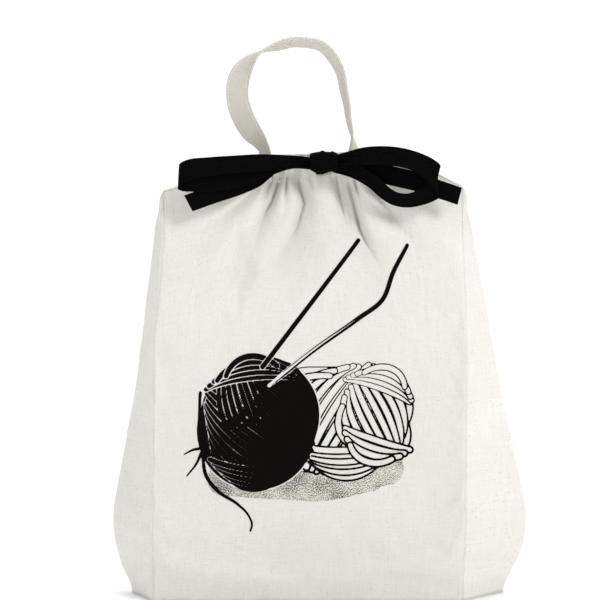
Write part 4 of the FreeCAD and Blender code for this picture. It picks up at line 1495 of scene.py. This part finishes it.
def cotton(name, light, dark, yarns, fleck_share, creases):
    """Plain-woven cotton: its two shades, its yarns per metre, its flecks, and how creased it is."""
    made, tree, shader = material(name)
    uv = tree.nodes.new("ShaderNodeUVMap").outputs["UV"]
    height = weave(tree, uv, yarns)
    slub_a = noise(tree, uv, "slubs across", 900.0, 2.0, 0.6, (0.05, 1.0, 1.0))
    slub_b = noise(tree, uv, "slubs along", 900.0, 2.0, 0.6, (1.0, 0.05, 1.0))
    slubs = math_node(tree, "ADD", "slubs", slub_a, slub_b)
    clouds = noise(tree, uv, "clouds", 9.0, 3.0, 0.55)
    shade = math_node(tree, "MULTIPLY", "slub share", slubs, 0.5)
    colour = ramp(tree, shade, "yarn shades", [(0.30, dark), (0.62, light)])
    cloud_colour = ramp(tree, clouds, "soft clouds", [(0.30, (0.955, 0.945, 0.925)), (0.68, (1.0, 1.0, 1.0))])
    colour = multiply_colours(tree, "clouds on yarn", 1.0, colour, cloud_colour)
    # Painted shade: the colour is made darker and warmer in the gaps between the yarns, where shade falls in
    # the weave.
    gaps = ramp(tree, height, "gaps between yarns", [(0.05, (0.74, 0.71, 0.65)), (0.55, (1.0, 1.0, 1.0))])
    colour = multiply_colours(tree, "gaps", 0.55, colour, gaps)
    fleck = noise(tree, uv, "husk flecks", 620.0, 0.0, 0.5)
    flecks = ramp(tree, fleck, "flecks", [(fleck_share, (1.0, 1.0, 1.0)), (fleck_share + 0.03, HUSK)])
    colour = multiply_colours(tree, "husks", 0.45, colour, flecks)
    link(tree, colour, shader.inputs["Base Color"])
    rough = math_node(tree, "MULTIPLY_ADD", "roughness", height, -0.08)
    rough.node.inputs[2].default_value = 0.93
    link(tree, rough, shader.inputs["Roughness"])
    shader.inputs["Sheen Weight"].default_value = 0.12
    shader.inputs["Sheen Roughness"].default_value = 0.55
    shader.inputs["Specular IOR Level"].default_value = 0.25
    crumple = noise(tree, uv, "crumples", 26.0, 3.0, 0.5)
    first = bump(tree, crumple, creases, shader, 1.0)
    slub_height = math_node(tree, "MULTIPLY", "slub height", slubs, 0.7)
    woven = math_node(tree, "ADD", "weave and slubs", height, slub_height)
    bump(tree, woven, YARN_HIGH, shader, 0.75, first)
    return made


cotton_cloth = cotton("cotton_cloth", CREAM, CREAM_DARK, YARNS_PER_METRE, 0.750, 0.0036)
# The handle is the bag's own cotton. Its colours here are the cream darkened by about a quarter, as painted
# shade on the strap.
shade_darkened_tape = cotton("shade_darkened_tape", (0.660, 0.635, 0.580), (0.585, 0.555, 0.495), 1500.0, 0.76, 0.0012)

# %% Thread material
thread, tree, shader = material("sewing_thread")
uv = tree.nodes.new("ShaderNodeTexCoord").outputs["Object"]
twist = noise(tree, uv, "twist of the thread", 2600.0, 1.0, 0.5)
link(tree, ramp(tree, twist, "thread shades", [(0.3, (0.72, 0.69, 0.60)), (0.7, (0.88, 0.86, 0.79))]),
     shader.inputs["Base Color"])
shader.inputs["Roughness"].default_value = 0.62
shader.inputs["Sheen Weight"].default_value = 0.15
bump(tree, twist, 0.00008, shader)


# %% [markdown]
# ## Ribbon
#
# The ribbon is a narrow woven tape of black cotton: fine ribs run across it, and each edge has a selvedge,
# a slightly raised and denser border. It is deep black and matt, with hardly a highlight. Fine lint shows
# as tiny paler fibres, as on all black cloth.

# %% Ribbon material
RIBS_PER_METRE = 1250.0
RIBBON_HALF = 0.0080


def ribbon_material(name):
    """Ribs across, selvedges at both edges, a little lint."""
    made, tree, shader = material(name)
    uv = tree.nodes.new("ShaderNodeUVMap").outputs["UV"]
    split = tree.nodes.new("ShaderNodeSeparateXYZ")
    link(tree, uv, split.inputs[0])
    wave = math_node(tree, "SINE", "rib wave", math_node(tree, "MULTIPLY", "ribs", split.outputs["Y"],
                                                          2.0 * math.pi * RIBS_PER_METRE))
    ribs = math_node(tree, "MULTIPLY_ADD", "ribs up", wave, 0.5)
    ribs.node.inputs[2].default_value = 0.5
    fine = weave(tree, uv, 3200.0)
    edge = math_node(tree, "ABSOLUTE", "from the middle", split.outputs["X"])
    selvedge = math_node(tree, "GREATER_THAN", "selvedge", edge, RIBBON_HALF - 0.0011)
    fibre = noise(tree, uv, "fibres", 2400.0, 3.0, 0.65, (0.25, 1.0, 1.0))
    worn = noise(tree, uv, "handling", 45.0, 2.0, 0.5)
    lint = noise(tree, uv, "lint", 1500.0, 1.0, 0.5, (0.35, 1.0, 1.0))
    colour = ramp(tree, fibre, "black shades", [(0.25, (0.0008, 0.0007, 0.0007)),
                                                (0.75, (0.0026, 0.0024, 0.0023))])
    cloudy = ramp(tree, worn, "worn shades", [(0.30, (0.72, 0.70, 0.70)), (0.70, (1.0, 1.0, 1.0))])
    colour = multiply_colours(tree, "worn", 1.0, colour, cloudy)
    linty = tree.nodes.new("ShaderNodeMix")
    linty.data_type = "RGBA"
    linty.label = "lint on black"
    link(tree, math_node(tree, "GREATER_THAN", "where lint lies", lint, 0.735), linty.inputs[0])
    link(tree, colour, linty.inputs[6])
    linty.inputs[7].default_value = (0.030, 0.028, 0.026, 1.0)
    link(tree, linty.outputs[2], shader.inputs["Base Color"])
    rough = math_node(tree, "MULTIPLY_ADD", "roughness", ribs, -0.10)
    rough.node.inputs[2].default_value = 0.74
    link(tree, rough, shader.inputs["Roughness"])
    shader.inputs["Specular IOR Level"].default_value = 0.03
    fine_part = math_node(tree, "MULTIPLY", "fine part", fine, 0.4)
    edge_part = math_node(tree, "MULTIPLY", "edge part", selvedge, 0.9)
    height = math_node(tree, "ADD", "ribs and weave", ribs, fine_part)
    height = math_node(tree, "ADD", "with selvedge", height, edge_part)
    bump(tree, height, 0.00012, shader, 0.8)
    return made


black_ribbon = ribbon_material("black_ribbon")


# %% [markdown]
# ## Ink
#
# Screen ink soaks into the yarns: it is matt, it follows the weave, and tiny pale specks stay where the ink
# bridged the gaps between yarns. The tint under the balls is not a grey ink. It is the same black laid as
# fine dots, so its material is cotton with dots of ink, unevenly dense.

# %% Ink materials
def ink_material(name, solid):
    """Black ink on cotton: solid with a few specks, or fine dots."""
    made, tree, shader = material(name)
    uv = tree.nodes.new("ShaderNodeUVMap").outputs["UV"]
    height = weave(tree, uv, YARNS_PER_METRE)
    if solid:
        speck = noise(tree, uv, "pin holes", 1500.0, 2.0, 0.6)
        colour = ramp(tree, speck, "ink with pin holes", [(0.30, (0.0030, 0.0027, 0.0025)),
                                                          (0.70, (0.0050, 0.0045, 0.0042)),
                                                          (0.80, (0.0600, 0.0560, 0.0500))])
    else:
        dots = noise(tree, uv, "dots", 1150.0, 1.0, 0.6)
        uneven = noise(tree, uv, "uneven dots", 40.0, 2.0, 0.5)
        level = math_node(tree, "ADD", "dot size", dots, math_node(tree, "MULTIPLY", "share", uneven, 0.35))
        colour = ramp(tree, level, "dots of ink", [(0.60, (0.020, 0.018, 0.016)), (0.70, (0.72, 0.69, 0.62))])
    link(tree, colour, shader.inputs["Base Color"])
    shader.inputs["Roughness"].default_value = 0.82
    shader.inputs["Specular IOR Level"].default_value = 0.02
    bump(tree, height, YARN_HIGH * 0.7, shader, 0.6)
    return made


solid_ink = ink_material("print_ink", True)
dotted_ink = ink_material("print_dots", False)


# %% [markdown]
# ## Putting it all together
#
# Each piece gets its material, the CAD node that it stands for, and the body that it moves with. The front
# and the back are cut wide at the hem, where the ribbon gathers them, and narrow at the base. The handle and
# its stitches are attached to no body.

# %% Materials and bodies
def finish(piece, finish_material, slot_name, body, *nodes):
    """Gives a piece its material, the nodes that it stands for, and its body; slot_name is not used."""
    piece.data.materials.clear()
    piece.data.materials.append(finish_material)
    if nodes:
        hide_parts(*nodes)
    if body:
        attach(piece, body)


finish(front_cloth, cotton_cloth, "cotton_cloth", "bag", "front_panel")
finish(back_cloth, cotton_cloth, "cotton_cloth", "bag", "back_panel")
finish(left_gusset_cloth, cotton_cloth, "cotton_cloth", "bag", "left_gusset")
finish(right_gusset_cloth, cotton_cloth, "cotton_cloth", "bag", "right_gusset")
finish(base_cloth, cotton_cloth, "cotton_cloth", "bag", "base_panel")
finish(casings[FRONT], cotton_cloth, "cotton_hem", "bag", "front_casing")
finish(casings[BACK], cotton_cloth, "cotton_hem", "bag", "back_casing")
for node, seam in seams.items():
    finish(seam, cotton_cloth, "seam_allowance", "bag", node)
finish(hem_stitches[FRONT], thread, "thread", "bag", "front_hem_stitching")
finish(hem_stitches[BACK], thread, "thread", "bag", "back_hem_stitching")
finish(printed_ink, solid_ink, "cotton_cloth", "bag")
finish(printed_tint, dotted_ink, "cotton_cloth", "bag")
finish(ribbon_run, black_ribbon, "black_ribbon", "bag", "ribbon_run")
finish(knot, black_ribbon, "black_ribbon", "bag", "bow_knot")
finish(left_loop, black_ribbon, "black_ribbon", "loop_left", "left_bow_loop")
finish(right_loop, black_ribbon, "black_ribbon", "loop_right", "right_bow_loop")
finish(left_end, black_ribbon, "black_ribbon", "tail_left", "left_tail")
finish(right_end, black_ribbon, "black_ribbon", "tail_right", "right_tail")
finish(handle_strap, shade_darkened_tape, "cotton_strap", None, "handle_strap", "left_strap_end", "right_strap_end")
finish(handle_stitches, thread, "thread", None)
finish(left_box, thread, "thread", "bag", "left_strap_stitching")
finish(right_box, thread, "thread", "bag", "right_strap_stitching")

for piece in (handle_strap, handle_stitches):
    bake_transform(piece)


# %% [markdown]
# ## Light and table
#
# The bag stands on a pale floor in a white light tent. The tent is brighter behind the bag than in front of
# it, which keeps the background clean and still lets the lamps model the folds. Close to the floor it is
# white all round, so that no grey horizon shows from the side. A panel at the upper right is the main
# light, a weaker, larger one at the left opens the shadows, and a broad light from straight above whitens
# the floor and the rim of the mouth. The plain view transform keeps whites white and the ribbon black.

# %% Floor, lights and sky
FLOOR_WIDE = 12.0
TENT_FRONT = 0.37
TENT_BACK = 1.08

deselect()
bpy.ops.mesh.primitive_plane_add(size=FLOOR_WIDE)
pale_floor = bpy.context.object
pale_floor.name = pale_floor.data.name = "pale_floor"
floor_paper, tree, shader = material("pale_paper")
paper = noise(tree, tree.nodes.new("ShaderNodeTexCoord").outputs["Object"], "paper", 40.0, 3.0, 0.5)
link(tree, ramp(tree, paper, "paper shades", [(0.3, (0.94, 0.94, 0.94)), (0.7, (0.96, 0.96, 0.96))]),
     shader.inputs["Base Color"])
shader.inputs["Roughness"].default_value = 0.9
pale_floor.data.materials.append(floor_paper)


def panel_light(name, place, aim, size, power, colour):
    """A square soft light that looks at a place."""
    data = bpy.data.lights.new(name, "AREA")
    data.size, data.energy, data.color = size, power, colour
    lamp = bpy.data.objects.new(name, data)
    bpy.context.scene.collection.objects.link(lamp)
    lamp.location = place
    lamp.rotation_euler = (Vector(aim) - Vector(place)).to_track_quat("-Z", "Y").to_euler()


panel_light("key", (1.5, -1.7, 1.7), (0.0, 0.0, 0.28), 0.7, 33.0, (1.0, 0.995, 0.985))
panel_light("fill", (-2.0, -1.6, 0.7), (0.0, 0.0, 0.22), 1.6, 10.0, (1.0, 0.995, 0.98))
overhead = bpy.data.lights.new("overhead", "SUN")
overhead.energy = 1.5
overhead.angle = math.radians(50.0)
overhead_lamp = bpy.data.objects.new("overhead", overhead)
bpy.context.scene.collection.objects.link(overhead_lamp)
overhead_lamp.rotation_euler = (math.radians(-8.0), 0.0, 0.0)

tent = bpy.data.worlds.new("light_tent")
tent.use_nodes = True
tree = tent.node_tree
tent_light = tree.nodes["Background"]
tent_light.inputs["Color"].default_value = (1.0, 1.0, 1.0, 1.0)
toward = tree.nodes.new("ShaderNodeSeparateXYZ")
link(tree, tree.nodes.new("ShaderNodeTexCoord").outputs["Generated"], toward.inputs[0])
strength = tree.nodes.new("ShaderNodeMapRange")
strength.label = "brighter behind the bag"
strength.interpolation_type = "SMOOTHSTEP"
for socket, value in (("From Min", -0.1), ("From Max", 0.5), ("To Min", TENT_FRONT), ("To Max", TENT_BACK)):
    strength.inputs[socket].default_value = value
link(tree, toward.outputs["Y"], strength.inputs["Value"])
skirt = tree.nodes.new("ShaderNodeMapRange")
skirt.label = "white all round at the floor"
skirt.interpolation_type = "SMOOTHSTEP"
for socket, value in (("From Min", 0.02), ("From Max", 0.07), ("To Min", TENT_BACK), ("To Max", 0.0)):
    skirt.inputs[socket].default_value = value
link(tree, toward.outputs["Z"], skirt.inputs["Value"])
link(tree, math_node(tree, "MAXIMUM", "tent", strength.outputs["Result"], skirt.outputs["Result"]),
     tent_light.inputs["Strength"])
bpy.context.scene.world = tent
bpy.context.scene.view_settings.view_transform = "Standard"

# %% Sizes and finish
print("CAD   ", [round(v, 4) for v in (*cad_low, *cad_high)])
